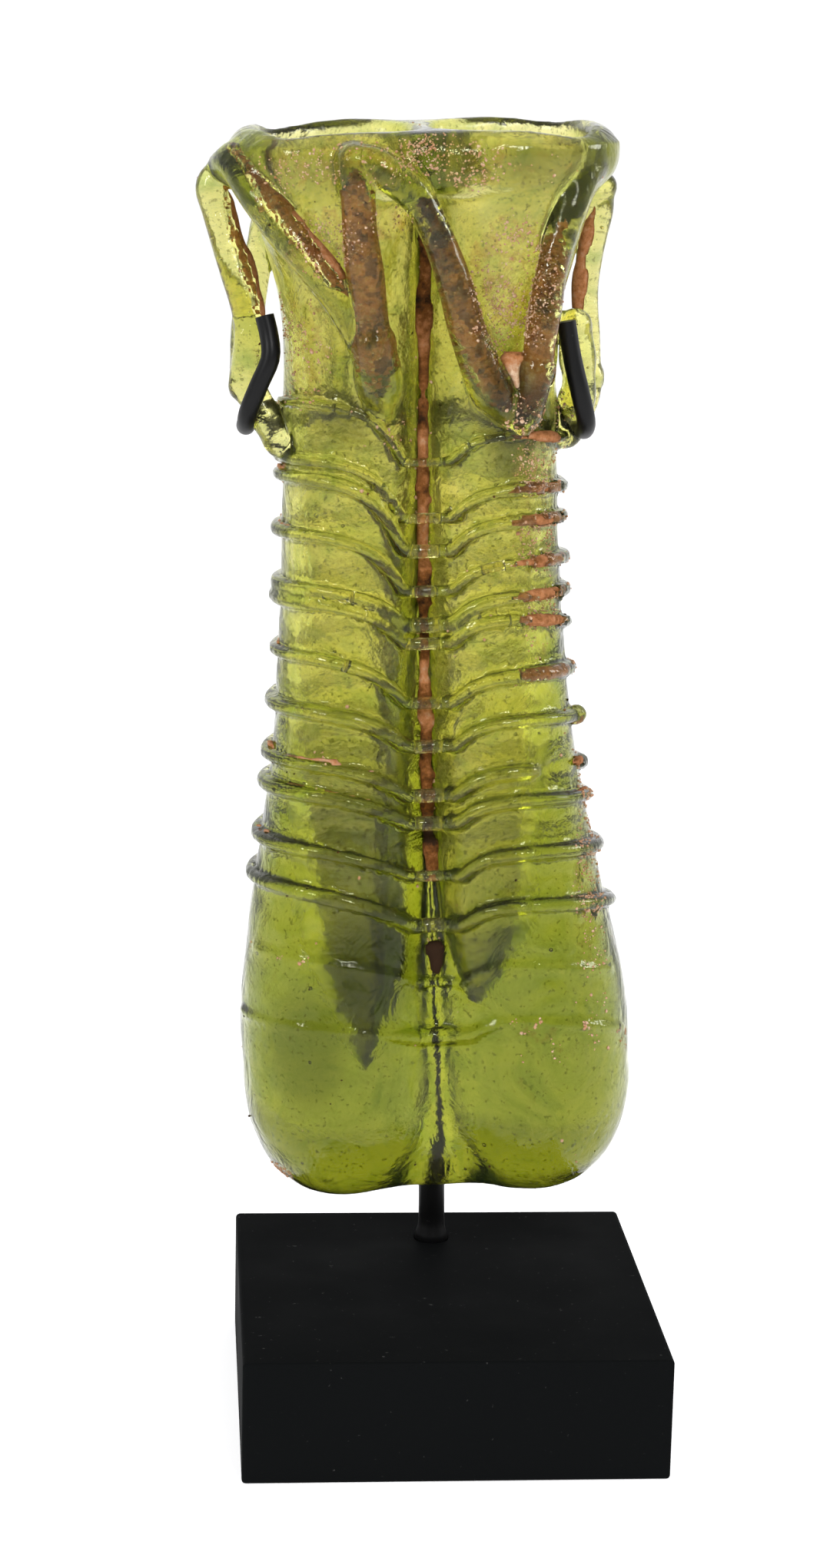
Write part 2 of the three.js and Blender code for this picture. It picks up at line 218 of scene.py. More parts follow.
# %% Floor
FLOOR_SIZE = 3.0
FLOOR_GLOW = 0.4

floor_mesh = bpy.data.meshes.new("floor")
half = FLOOR_SIZE / 2
floor_corners = [(-half, -half, 0), (half, -half, 0), (half, half, 0), (-half, half, 0)]
floor_mesh.from_pydata(floor_corners, [], [(0, 1, 2, 3)])
floor = bpy.data.objects.new("floor", floor_mesh)
bpy.context.collection.objects.link(floor)
paper, tree = new_material("studio_floor")
shader = node(tree, "ShaderNodeBsdfPrincipled", Roughness=0.7, Base_Color=(0.9, 0.9, 0.91, 1),
              Emission_Color=(1, 1, 1, 1), Emission_Strength=FLOOR_GLOW)
node(tree, "ShaderNodeOutputMaterial", Surface=shader.outputs[0])
floor_mesh.materials.append(paper)
bpy.context.scene.view_settings.view_transform = "Standard"
print("floor, m:", FLOOR_SIZE)

# %% [markdown]
# ## The glass: sizes
#
# The tubes, the rim and the bores follow the same rule as the solids: a half width over both tubes at
# every height, a depth as a share of it, and a bore inside each tube. All sizes are millimetres in the
# bottle's own upright frame, from the underside of its lobes. The last step leans it into place.

# %% Sizes of the bottle
HEIGHT = 122.6
BELLY, NECK, FLARE = 0.155 * HEIGHT, 0.69 * HEIGHT, 0.795 * HEIGHT
BELLY_HALF, NECK_HALF, FLARE_HALF = 22.7, 15.2, 19.8
RIM_HALF, RIM_DEPTH, RIM_BAND, RIM_SLOPE = 21.3, 12.7, 6.6, 0.062
TUBE_CENTRE = 0.482
BELLY_DEPTH, NECK_DEPTH = 0.52, 0.555
BAG_HALF, BAG_DEPTH, BAG_TOP = 15.0, 7.4, 0.44 * HEIGHT
SEPTUM, RIM_WALL = 2.4, 3.6
BORE_NECK, BORE_LOW, BORE_LOW_LEVEL = 6.0, 4.3, 0.25 * HEIGHT
BORES = [(-1, 14.8, 3.7, 0.13 * HEIGHT), (1, 22.5, 1.6, 0.09 * HEIGHT)]  # side, tip, spread, length of point
BOTTLE_X, BOTTLE_Y = -0.2, 2.5
CLEARANCE = 11.2
LEAN, BOW = 0.0395, 1.3
BOTTLE_Z = foot_top + CLEARANCE


def smooth(value, low, high):
    share = np.clip((value - low) / (high - low), 0, 1)
    return share * share * (3 - 2 * share)


def half_width(z):
    taper = np.clip((z - BELLY) / (NECK - BELLY), 0, None)
    fall = np.exp(-4 * taper**1.7)
    flare = np.clip((z - FLARE) / (HEIGHT - RIM_BAND - FLARE), 0, 1.15)
    return NECK_HALF + (BELLY_HALF - NECK_HALF) * fall + (FLARE_HALF - NECK_HALF) * flare**2


def tube_section(z):
    """One tube's section at a height: how far out its middle is, its half width and half depth."""
    whole = half_width(z)
    centre = TUBE_CENTRE * whole
    share = BELLY_DEPTH + (NECK_DEPTH - BELLY_DEPTH) * smooth(z, BELLY, NECK)
    return centre, whole - centre, share * whole


def to_frame(points):
    """From the bottle's upright frame in mm to the shared frame in metres."""
    bow = BOW * np.sin(np.pi * np.clip(points[:, 2] / HEIGHT, 0, 1))
    x = points[:, 0] - bow
    turned_x = BOTTLE_X + x * math.cos(LEAN) - points[:, 2] * math.sin(LEAN)
    turned_z = BOTTLE_Z + x * math.sin(LEAN) + points[:, 2] * math.cos(LEAN)
    return np.stack([turned_x, BOTTLE_Y + points[:, 1], turned_z], axis=1) * MM


def to_bottle(points):
    """The way back, from millimetres above the foot's top to the bottle's upright frame."""
    x = points[:, 0] - BOTTLE_X
    z = points[:, 2] - CLEARANCE
    upright_x = x * math.cos(LEAN) + z * math.sin(LEAN)
    upright_z = -x * math.sin(LEAN) + z * math.cos(LEAN)
    upright_x = upright_x + BOW * np.sin(np.pi * np.clip(upright_z / HEIGHT, 0, 1))
    return np.stack([upright_x, points[:, 1] - BOTTLE_Y, upright_z], axis=1)


# %% [markdown]
# ## The glass: paths of thread and trail
#
# The thread was wound from the rim down while the tubes turned, so every turn has its own height. It
# sags towards the groove, bridges it, and climbs on the right tube. An even spiral would be simpler to
# make and would look like a screw. So the list gives the heights that were read for each turn at the
# left side, over the groove and at the right side, in millimetres. A turn of 1 is once round both tubes,
# and the two tubes are walked evenly by angle.

# %% Thread path
TURNS = [
    (93.0, 86.3, 87.7), (86.8, 80.1, 82.6), (84.8, 76.5, 79.3), (78.6, 72.0, 74.6),
    (72.6, 68.2, 70.9), (71.1, 66.1, 67.0), (65.0, 59.4, 61.9), (59.0, 54.5, 56.3),
    (53.1, 48.9, 50.5), (49.8, 45.7, 46.9), (43.7, 39.7, 41.1), (39.1, 34.0, 34.4),
    (31.2, 27.1, 26.0), (23.3, 20.9, 18.6),
]
RUNS = [(0.02, 7.47), (7.66, 8.38), (8.49, 11.6)]  # the lengths of thread that still stand proud
TRACES = [(12.04, 12.45), (13.02, 13.46)]  # and those that are worn to a faint line
TRACE_PROUD, TRACE_RADIUS = -0.18, 0.52
WORN_PATCH = (13.19, 13.31)  # a flat spot of the last trace, over the groove
WORN_PATCH_PROUD = 0.2
THREAD_RADII = ((0, 0.8, 1.2, 6, 11), (0.48, 0.55, 0.74, 0.78, 0.82))  # by turn; the first turn is thin
THREAD_PROUD = 0.62
BRIDGE_HALF = 2.1  # the thread runs straight across the groove from here
BRIDGE_FROM = 0.94  # and this is where on a quarter turn the straight piece starts
CLIMB = 3.5  # past the groove it climbs this much on to the right tube
PAST_GROOVE = 0.28  # part of a turn where it has crossed the groove


def wall_point(turn, z, out):
    """A point on the wall: turn 0 is the left side, 0.25 the front groove, 0.5 the right side."""
    within = (turn + 0.25) % 1 - 0.25
    on_right = within > 0.25
    side = np.where(on_right, 1.0, -1.0)
    share = np.where(on_right, within - 0.5, within) / 0.25
    centre, width, depth = tube_section(z)
    inner = np.pi - np.arccos(np.clip((centre - BRIDGE_HALF) / (width + out), -1, 1))
    angle = np.clip(share / BRIDGE_FROM, -1, 1) * inner
    x = side * (centre + (width + out) * np.cos(angle))
    y = side * (depth + out) * np.sin(angle)
    across = np.clip((np.abs(share) - BRIDGE_FROM) / (1 - BRIDGE_FROM), 0, 1)
    x = x * (1 - across)
    bag_width, bag_depth = bag_section(z)
    bag_y = bag_depth * np.sqrt(np.clip(1 - (x / bag_width) ** 2, 0, 1)) + out
    low_enough = z < BAG_TOP
    y = np.where(low_enough & (np.abs(y) < bag_y), np.sign(y) * bag_y, y)
    return np.stack([x, y, z], axis=-1)


def bag_section(z):
    """Half width and half depth of the glass that the two tubes share at the bottom."""
    narrowing = smooth(z, BELLY, BAG_TOP)
    return BAG_HALF * (1 - 0.55 * narrowing), BAG_DEPTH * (1 - 0.75 * narrowing)


def thread_height(turn):
    """The height of the thread: it sags to the groove, climbs past it, and comes back round behind."""
    whole = np.floor(turn).astype(int)
    part = turn - whole
    table = np.array(TURNS + [TURNS[-1]])
    left, groove, right = table[whole].T
    following = table[whole + 1][:, 0]
    sag = np.clip(part / 0.23, 0, 1) ** np.interp(turn, (0, 7, 11), (5.6, 4.6, 3.4))
    climb = np.clip((part - PAST_GROOVE) / 0.22, 0, 1)
    hump = CLIMB * (1 - np.exp(-climb / 0.14))
    rise = groove + hump + (right - groove - CLIMB) * climb**1.5
    back = (part - 0.5) / 0.5
    in_front = np.where(part < PAST_GROOVE, left + (groove - left) * sag, rise)
    return np.where(part < 0.5, in_front, right + (following - right) * back)


def thread_points(start, end, out):
    """Points along the thread between two turns, and the turn of each."""
    turns = np.linspace(start, end, max(6, int((end - start) * 90)))
    return wall_point(turns, thread_height(turns), out), turns


# %% [markdown]
# The zigzag trail is thicker and free of the wall between its bends. Its path is a free form, so each
# strand keeps a short list of points, in millimetres above the foot's top, and a smooth
# curve runs through them.

# %% Strand paths
STRANDS = {
    "diagonal": [(-26.6, 1.5, 128.6), (-25.8, -2.0, 129.1), (-23.4, -5.5, 125.9), (-20.4, -7.2, 122.2),
                 (-17.5, -7.9, 118.8), (-14.7, -7.9, 115.3), (-12.9, -7.5, 111.8), (-11.4, -6.9, 107.8),
                 (-9.3, -5.6, 102.8)],
    "upright": [(-13.3, -10.4, 129.6), (-12.9, -10.4, 127.1), (-12.5, -9.8, 122.2), (-11.8, -9.2, 117.8),
                (-11.1, -8.6, 113.4), (-10.5, -7.8, 109.5), (-10.0, -7.0, 107.0), (-9.2, -5.4, 102.9)],
    "swan": [(-13.3, -10.4, 129.6), (-11.4, -10.8, 129.6), (-9.1, -10.8, 128.1), (-6.7, -10.5, 126.2),
             (-4.8, -10.0, 123.2), (-3.2, -9.4, 119.7), (-1.9, -8.8, 116.2), (-0.8, -8.3, 112.5),
             (0.5, -7.9, 109.2), (2.3, -7.3, 105.6), (4.8, -6.3, 102.4)],
    "right": [(12.4, -4.5, 129.2), (11.1, -6.0, 127.3), (9.6, -7.0, 123.1), (8.5, -7.5, 119.2),
              (7.9, -7.6, 115.1), (7.4, -7.5, 111.3), (7.0, -7.1, 106.7), (6.1, -6.4, 103.6),
              (5.5, -5.4, 101.4)],
    "outer": [(-26.6, 1.5, 128.6), (-28.1, 1.4, 126.8), (-27.6, 1.2, 124.4), (-26.8, 0.8, 121.4),
              (-25.6, 0.3, 118.1), (-24.6, -0.3, 114.9), (-24.0, -0.8, 111.6), (-24.0, -1.1, 108.2),
              (-24.5, -1.2, 105.1)],
    "outer_tail": [(-24.5, -1.2, 105.1), (-23.1, -1.5, 103.7), (-21.7, -2.0, 101.1), (-20.5, -2.4, 98.1)],
    "far": [(15.5, 7.7, 127.2), (15.6, 8.3, 124.6), (14.9, 8.4, 122.0), (14.3, 8.4, 117.4),
            (14.2, 8.2, 113.3), (14.5, 7.8, 109.0), (14.6, 6.4, 104.2), (13.0, 4.4, 101.3)],
    "end": [(12.1, 0.6, 112.2), (12.7, 1.2, 108.2), (12.8, 1.8, 103.9), (11.6, 2.2, 100.4)],
    "back_left": [(-24.5, -1.2, 105.1), (-24.2, 2.5, 111.0), (-22.8, 6.6, 119.0), (-21.2, 9.6, 124.6),
                  (-19.5, 10.6, 126.6)],
    "back_first": [(-19.5, 10.6, 126.6), (-17.4, 12.4, 124.8), (-15.6, 12.6, 119.0), (-14.2, 12.2, 111.0),
                   (-13.2, 11.4, 104.0)],
    "back_second": [(-13.2, 11.4, 104.0), (-11.2, 12.8, 111.0), (-9.0, 14.0, 119.0), (-7.2, 15.0, 125.4),
                    (-6.0, 14.8, 127.4)],
    "back_third": [(-6.0, 14.8, 127.4), (-4.0, 14.8, 125.4), (-0.6, 13.8, 119.0), (2.2, 12.6, 111.0),
                   (4.2, 11.0, 103.6)],
    "back_right": [(4.2, 11.0, 103.6), (7.2, 11.8, 110.0), (10.6, 11.6, 118.0), (13.8, 9.8, 124.6),
                   (15.5, 7.7, 127.2)],
}
STRAND_RADIUS = {"upright": 1.95, "diagonal": 2.0, "swan": 1.8, "right": 1.75, "outer": 1.75,
                 "outer_tail": 1.7, "far": 1.5, "end": 1.95}
FOOT_SPREAD = {"diagonal": 0.55, "upright": 1.3, "swan": 1.35, "right": 1.15, "outer_tail": 0.9}
RINGS = {"upright": 0.70, "right": 0.74, "far": 0.80}  # where a pinched ring sits, along the strand


def smooth_curve(points, per_span=5):
    """A centripetal curve through the points, evenly stepped in each span."""
    points = np.array(points, float)
    ends = np.vstack([2 * points[0] - points[1], points, 2 * points[-1] - points[-2]])
    made = []
    for i in range(1, len(ends) - 2):
        p0, p1, p2, p3 = ends[i - 1:i + 3]
        steps = [max(np.linalg.norm(b - a), 1e-3) ** 0.5 for a, b in ((p0, p1), (p1, p2), (p2, p3))]
        t1, t2, t3 = np.cumsum(steps)
        for t in np.linspace(t1, t2, per_span, endpoint=False):
            a1 = p0 + (p1 - p0) * (t / t1)
            a2 = p1 + (p2 - p1) * ((t - t1) / (t2 - t1))
            a3 = p2 + (p3 - p2) * ((t - t2) / (t3 - t2))
            b1 = a1 + (a2 - a1) * (t / t2)
            b2 = a2 + (a3 - a2) * ((t - t1) / (t3 - t1))
            made.append(b1 + (b2 - b1) * ((t - t1) / (t2 - t1)))
    return np.array(made + [points[-1]])


strand_paths = {name: smooth_curve(points) for name, points in STRANDS.items()}
print("strands:", len(strand_paths), "thread turns:", len(TURNS))

# %% [markdown]
# ## The glass: one melted body
#
# Threads and trail were laid on hot and melted into the wall, with small fillets where they meet it.
# Separate meshes would show inner faces through clear glass. So the body is a field of distances on a
# grid of small cells: each part lowers the field, blended where parts meet, and the bores are taken
# out. One skin is then drawn where the field is zero.

# %% Noise and blending
def lattice_noise(x, y, z, cell, seed):
    """Soft noise between -1 and 1 that changes over about one cell; the same each run."""
    size = 32
    lattice = np.random.default_rng(seed).uniform(-1, 1, (size, size, size)).astype(np.float32)
    total = 0
    corner, share = [], []
    for value in (x, y, z):
        scaled = np.asarray(value, np.float32) / cell
        low = np.floor(scaled)
        part = scaled - low
        corner.append(low.astype(int) % size)
        share.append(part * part * (3 - 2 * part))
    for i in (0, 1):
        for j in (0, 1):
            for k in (0, 1):
                weight = (share[0] if i else 1 - share[0]) * (share[1] if j else 1 - share[1])
                weight = weight * (share[2] if k else 1 - share[2])
                total = total + weight * lattice[(corner[0] + i) % size, (corner[1] + j) % size,
                                                 (corner[2] + k) % size]
    return total


def melt(a, b, reach):
    """The lower of two fields, blended over a reach, as two hot pieces of glass join."""
    share = np.clip(0.5 + 0.5 * (b - a) / reach, 0, 1)
    return b + (a - b) * share - reach * share * (1 - share)


def carve(body, hollow, reach):
    """Takes a hollow out of the body, with a rounded edge."""
    return -melt(-body, hollow, reach)


print("noise between 0 and 1 mm:", lattice_noise(*np.array([[0.0, 0.5, 1.0]] * 3), 9.0, 3).round(2))

# %% [markdown]
# Each part of the vessel has a rule that gives the distance to its wall: below zero inside, above zero
# outside. A tube is an oval with a rounded bottom, the rim is a flattened ring, and a bore is an oval
# that narrows to a point. The distances needn't be exact far away, only close to the wall.

# %% Body and bores as distances
BOTTOM_POWER = 2.7  # 2 is a round bottom, more is flatter
LOBE_CAP = 15.5
BAG_CAP, BAG_FLOOR = 7.0, 0.9
RIM_SQUARE = 2.35  # 2 is an oval outline
RIM_ROUNDING = 2.5
MOUTH_SQUARE = 1.6  # added to 2 at the mouth of a bore


def oval_distance(u, v, scale_u, scale_v, under=0, cap=1):
    """Distance to an oval tube; u and v are scaled by its half axes, and under is how far z lies below
    the start of its rounded bottom, over the bottom's height."""
    w = np.abs(under) ** (BOTTOM_POWER / 2)
    q = np.sqrt(u * u + v * v + w * w) + 1e-6
    down = BOTTOM_POWER / 2 * np.abs(under) ** (BOTTOM_POWER - 1) / cap
    slope = np.sqrt((u / scale_u) ** 2 + (v / scale_v) ** 2 + down**2) / q
    return (q - 1) / slope


def tube_distance(x, y, z, side):
    centre, width, depth = tube_section(z)
    under = np.minimum(z - LOBE_CAP, 0) / LOBE_CAP
    wall = oval_distance((x - side * centre) / width, y / depth, width, depth, under, LOBE_CAP)
    return np.maximum(wall, z - (HEIGHT - 0.4 * RIM_BAND))


def bag_distance(x, y, z):
    width, depth = bag_section(z)
    under = np.minimum(z - BAG_CAP - BAG_FLOOR, 0) / BAG_CAP
    wall = oval_distance(x / width, y / depth, width, depth, under, BAG_CAP)
    return np.maximum(wall, z - BAG_TOP)


def rim_distance(x, y, z):
    flat_x, flat_y = RIM_HALF - RIM_ROUNDING, RIM_DEPTH - RIM_ROUNDING
    u, v = x / flat_x, y / flat_y
    rho = (np.abs(u) ** RIM_SQUARE + np.abs(v) ** RIM_SQUARE) ** (1 / RIM_SQUARE) + 1e-6
    around = (rho - 1) / (np.sqrt((u / flat_x) ** 2 + (v / flat_y) ** 2) / rho + 1e-6)
    middle = HEIGHT - RIM_BAND / 2 + RIM_SLOPE * y
    level = np.abs(z - middle) - (RIM_BAND / 2 - RIM_ROUNDING)
    outside = np.sqrt(np.maximum(around, 0) ** 2 + np.maximum(level, 0) ** 2)
    return outside + np.minimum(np.maximum(around, level), 0) - RIM_ROUNDING


def bore_distance(x, y, z, side, tip, spread, point):
    mouth = smooth(z, FLARE, HEIGHT)
    mouth_width = (RIM_HALF - RIM_WALL - SEPTUM / 2) / 2
    down = np.clip((NECK - z) / (NECK - BORE_LOW_LEVEL), 0, 1)
    plain = BORE_NECK + (BORE_LOW - BORE_NECK) * down
    centre = plain + SEPTUM / 2 + down * spread
    centre = centre + (mouth_width + SEPTUM / 2 - centre) * mouth
    width = plain + (mouth_width - plain) * mouth
    depth = plain + (RIM_DEPTH - RIM_WALL - plain) * mouth
    u, v = (x - side * centre) / width, y / depth
    square = 2 + MOUTH_SQUARE * mouth
    rho = (np.abs(u) ** square + np.abs(v) ** square) ** (1 / square) + 1e-6
    taper = np.clip(1 - (z - tip) / point, 0, None)
    slope = np.sqrt((u / width) ** 2 + (v / depth) ** 2) / rho
    slope = np.sqrt(slope**2 + np.where(taper > 0, (1 / point) ** 2, 0))
    return (rho + taper**1.3 - 1) / slope


# %% [markdown]
# The field is kept as one number for each small cell of a box round the bottle. A finer grid shows finer
# thread but takes more time and memory, eight times as much for half the cell. Thread and trail are
# stamped into it as short tapered rods, each only in its own small window.

# %% The grid
VOXEL = 0.45
GRID_LOW = np.array([-27.0, -17.5, -3.0])
GRID_HIGH = np.array([27.0, 17.5, 127.0])
steps = [np.arange(low, high, VOXEL, dtype=np.float32) for low, high in zip(GRID_LOW, GRID_HIGH)]
gx, gy, gz = steps[0][:, None, None], steps[1][None, :, None], steps[2][None, None, :]
FAR = 9.0  # what a field holds where nothing is near
STAMP_MARGIN = 2.4


def stamp(field, a, b, radius_a, radius_b):
    """Lowers the field to the distance from one tapered rod between a and b."""
    margin = max(radius_a, radius_b) + STAMP_MARGIN
    low, high = np.minimum(a, b) - margin, np.maximum(a, b) + margin
    first = np.maximum(((low - GRID_LOW) / VOXEL).astype(int), 0)
    last = ((high - GRID_LOW) / VOXEL).astype(int) + 2
    window = tuple(slice(f, l) for f, l in zip(first, last))
    offset = [s[window[k]].reshape([-1 if m == k else 1 for m in range(3)]) - a[k]
              for k, s in enumerate(steps)]
    along = b - a
    length = max(float(along @ along), 1e-9)
    share = np.clip(sum(offset[k] * along[k] for k in range(3)) / length, 0, 1)
    away = np.sqrt(sum((offset[k] - share * along[k]) ** 2 for k in range(3)))
    view = field[window]
    np.minimum(view, away - (radius_a + (radius_b - radius_a) * share), out=view)


def stamp_path(field, points, radii):
    for i in range(len(points) - 1):
        stamp(field, points[i], points[i + 1], radii[i], radii[i + 1])


# %% [markdown]
# The two tubes, the shared bottom and the rim come first. Blown glass is never even, so a slow and a
# quick noise move the wall in and out a little. A table then says how far forward the bare glass of the
# front groove lies at each height, since the soil needs that later.

# %% Bare vessel
MELT = {"tubes": 1.6, "bag": 2.4, "rim": 2.0, "thread": 0.16, "trace": 0.3, "trail": 0.9, "bore": 1.1}
SLOW_WAVE, QUICK_WAVE = 0.3, 0.07  # how far the wall wanders, mm

shape = tuple(len(s) for s in steps)
body = melt(tube_distance(gx, gy, gz, -1), tube_distance(gx, gy, gz, 1), MELT["tubes"])
body = melt(body, bag_distance(gx, gy, gz), MELT["bag"])
body = melt(body, rim_distance(gx, gy, gz), MELT["rim"])
body = body + SLOW_WAVE * lattice_noise(gx, gy, gz, 9.0, 3) + QUICK_WAVE * lattice_noise(gx, gy, gz, 2.6, 4)
middle = int((0 - GRID_LOW[0]) / VOXEL)
first_glass = np.argmax(body[middle] < 0, axis=0)
groove_table = steps[1][first_glass]


def groove_at(z):
    """How far forward the bare glass of the front groove lies, at a height."""
    return np.interp(z, steps[2], groove_table)


print("grid cells:", shape)

# %% [markdown]
# The thread was trailed on hot, so it is thin where it starts and uneven after that, and its first run
# ends in a small bead. A tube of one width would look like wire. Low on the body it has worn or broken
# off. What is left there is thinner and sunk with its middle under the wall, so it is only a low ridge.

# %% Threads
threads = np.full(shape, FAR, np.float32)
for start, end in RUNS:
    points, turns = thread_points(start, end, THREAD_PROUD)
    uneven = 1 + 0.12 * np.sin(turns * 9.1) + 0.08 * np.sin(turns * 23.7 + 1)
    radii = np.interp(turns, *THREAD_RADII) * uneven
    radii[0] = radii[-1] = 0.5
    stamp_path(threads, points, radii)
run_end = np.array([RUNS[0][1]])
bead = wall_point(run_end, thread_height(run_end), 0.9)[0]
stamp(threads, bead, bead + 0.1, 1.15, 1.15)
body = melt(body, threads, MELT["thread"])
traces = np.full(shape, FAR, np.float32)
for start, end in TRACES:
    points, turns = thread_points(start, end, TRACE_PROUD)
    stamp_path(traces, points, np.full(len(points), TRACE_RADIUS))
points, turns = thread_points(*WORN_PATCH, WORN_PATCH_PROUD)
stamp_path(traces, points, np.sin(np.linspace(0.3, math.pi - 0.3, len(points))))
body = melt(body, traces, MELT["trace"])
print("thread, turns:", round(sum(end - start for start, end in RUNS), 2), "in", len(RUNS), "runs")

# %% [markdown]
# The trail was pulled down from the rim, pressed on at each foot and drawn up again. Most of the strands
# in front spread at the foot, two draw in there, and all of these thin out at the tip. Three strands
# have a pinched ring. The swelling is a share of the strand's own radius, so that it stays in proportion
# when a strand is made thicker.

# %% Trail
RING_HALF, RING_PROUD = 0.28, 0.32

trail = np.full(shape, FAR, np.float32)
for name, path in strand_paths.items():
    points = to_bottle(path)
    share = np.linspace(0, 1, len(points))
    radius = STRAND_RADIUS.get(name, 1.7)
    radii = radius * (1 + 0.05 * np.sin(share * 17 + len(name)))
    if name in FOOT_SPREAD:
        swell = FOOT_SPREAD[name]
        near = smooth(share, 0.55, 0.92)
        tip = np.clip((share - 0.90) / 0.10, 0, 1)
        radii = radii * (1 + (swell - 1) * near) * (1 - 0.6 * tip)
    stamp_path(trail, points, radii)
    if name in RINGS:
        at = int(RINGS[name] * (len(points) - 1))
        along = points[at + 1] - points[at]
        along = along / np.linalg.norm(along) * RING_HALF
        stamp(trail, points[at] - along, points[at] + along, radii[at] + RING_PROUD, radii[at] + RING_PROUD)
body = melt(body, trail, MELT["trail"])
print("strands with a pressed foot:", len(FOOT_SPREAD), "and with a ring:", len(RINGS))

# %% [markdown]
# The bores are carved after thread and trail, so that these can't fill them. Soil also sits behind the
# strands and inside the right ends of the upper turns. There the glass gets a thin cavity, which the
# soil will fill: soil painted on the outside would look flat through clear glass.

# %% Bores, and the cavities for soil
BORE_WAVE = 0.22
CORE_TURNS = range(7)
CORE_FROM, CORE_TO, THREAD_CORE_RADIUS = 0.35, 0.465, 0.68

for side, tip, spread, point in BORES:
    bore = bore_distance(gx, gy, gz, side, tip, spread, point)
    body = carve(body, bore + BORE_WAVE * lattice_noise(gx, gy, gz, 5.5, 5 + side), MELT["bore"])
BEHIND = {"upright": (0.04, 0.93), "diagonal": (0.06, 0.66), "swan": (0.30, 0.97), "right": (0.24, 0.97),
          "outer": (0.12, 0.8), "far": (0.12, 0.72)}  # the part of each strand that has soil behind it
SHIFT = {"outer": (1.2, 0.4, 0.0), "far": (-0.9, -0.7, 0.0), "diagonal": (0.8, 0.3, 0.7),
         "swan": (0.2, 1.0, 0.0)}
CORE_RADIUS = {"upright": 1.35, "diagonal": 1.2, "far": 0.8, "outer": 1.0}
cores = np.full(shape, FAR, np.float32)
for name, (start, end) in BEHIND.items():
    points = to_bottle(strand_paths[name] + np.array(SHIFT.get(name, (0.0, 1.1, 0.0))))
    part = points[int(start * len(points)):int(end * len(points))]
    swell = 1 + 0.25 * lattice_noise(part[:, 0], part[:, 1], part[:, 2], 3.0, 22)
    rise = np.clip(np.linspace(0.12, 3.2, len(part)), 0, 1) ** 0.7
    swell = swell * rise * np.clip(np.linspace(6, 0.3, len(part)), 0, 1)
    stamp_path(cores, part, CORE_RADIUS.get(name, 1.15) * swell)
for n in CORE_TURNS:
    points, turns = thread_points(n + CORE_FROM, n + CORE_TO, THREAD_PROUD)
    swell = np.sin(np.linspace(0.05, math.pi - 0.15, len(points))) ** 0.8
    stamp_path(cores, points, THREAD_CORE_RADIUS * swell)
cores = cores + 0.2 * lattice_noise(gx, gy, gz, 1.6, 23)
body = np.maximum(body, -cores)
print("cavities:", len(BEHIND) + len(CORE_TURNS))


# %% [markdown]
# A skin has no open edge only if no two cells touch just along an edge. Such spots are rare, and it is
# simpler to fill them in the field than to mend them in the mesh.

# %% Closing the field
def untangle(field):
    """Fills the spots where two cells touch only along an edge, so that the skin stays one sheet."""
    for _ in range(8):
        inside = field < 0
        changed = 0
        for u, v in ((0, 1), (1, 2), (0, 2)):
            def quarter(values, du, dv):
                cut = [slice(None)] * 3
                cut[u] = slice(1, None) if du else slice(0, -1)
                cut[v] = slice(1, None) if dv else slice(0, -1)
                return values[tuple(cut)]

            a, b, c, d = (quarter(inside, i, j) for i, j in ((0, 0), (1, 0), (0, 1), (1, 1)))
            crossed = ((a & d & ~b & ~c) | (b & c & ~a & ~d))
            changed += int(crossed.sum())
            for i, j in ((0, 0), (1, 0), (0, 1), (1, 1)):
                view = quarter(field, i, j)
                view[crossed & (view >= 0)] = -0.04 * VOXEL
        if not changed:
            break
    return field


body = untangle(body)
print("glass volume, cm3:", round(float((body < 0).sum()) * VOXEL**3 / 1000, 1))


# %% [markdown]
# ## Soil that stayed on the glass
#
# The bottle was buried, and brown soil is still packed where a brush can't reach: down both grooves
# behind the threads, in the cavities of the trail and of the upper turns, in the notch where two strands
# meet, and along the upper side of some threads. It could be painted on the glass, but a thick crust has
# an edge and a shadow. So it is a second field on the same grid. Whatever would lie deeper in the glass
# is taken away, and the soil reaches a hair into it, so that no bright gap shows between the two.

# %% Packed soil
GROOVE_SOIL = 0.92
SOIL_SINK = 0.08  # the soil reaches this far into the glass, mm
THREAD_SOIL = [(n - 0.01, n + 0.05) for n in (2, 3, 5, 6, 8, 9, 10)]
THREAD_SOIL += [(n + 0.44, n + 0.52) for n in range(6, 11)] + [(n + 0.06, n + 0.21) for n in (8, 9)]

soil = np.full(shape, FAR, np.float32)
levels = np.arange(41.5, 112.5, 1.0)
uneven = lattice_noise(levels * 0, levels * 0, levels, 4.0, 21)
groove_y = groove_at(levels)
line = np.stack([0 * levels, groove_y - 0.45, levels], axis=1)
stamp_path(soil, line, GROOVE_SOIL * (0.95 + 0.3 * uneven) * smooth(levels, 39, 52) ** 0.3)
stamp_path(soil, line * (1, -1, 1), np.full(len(levels), GROOVE_SOIL))
for level, height in ((41.0, 1.6), (29.5, 1.3)):
    spot = np.array([0.3, groove_at(np.array([level]))[0] - 0.2, level])
    stamp(soil, spot - (0, 0, height), spot + (0, 0, height), 1.0, 1.2)
notch = to_bottle(np.array([(4.0, -6.7, 108.9), (6.6, -6.7, 108.6), (5.4, -6.6, 105.6)]))
stamp(soil, notch[0], notch[1], 1.15, 1.0)
stamp(soil, notch[0], notch[2], 1.15, 1.5)
stamp(soil, notch[1], notch[2], 1.0, 1.5)
for start, end in THREAD_SOIL:
    points, turns = thread_points(start, end, 0.35)
    ends = np.sin(np.linspace(0.25, math.pi - 0.25, len(points)))
    stamp_path(soil, points + (0, 0, 0.6), 0.45 * ends)
soil = soil + 0.42 * lattice_noise(gx, gy, gz, 1.3, 23) + 0.25 * lattice_noise(gx, gy, gz, 3.1, 24)
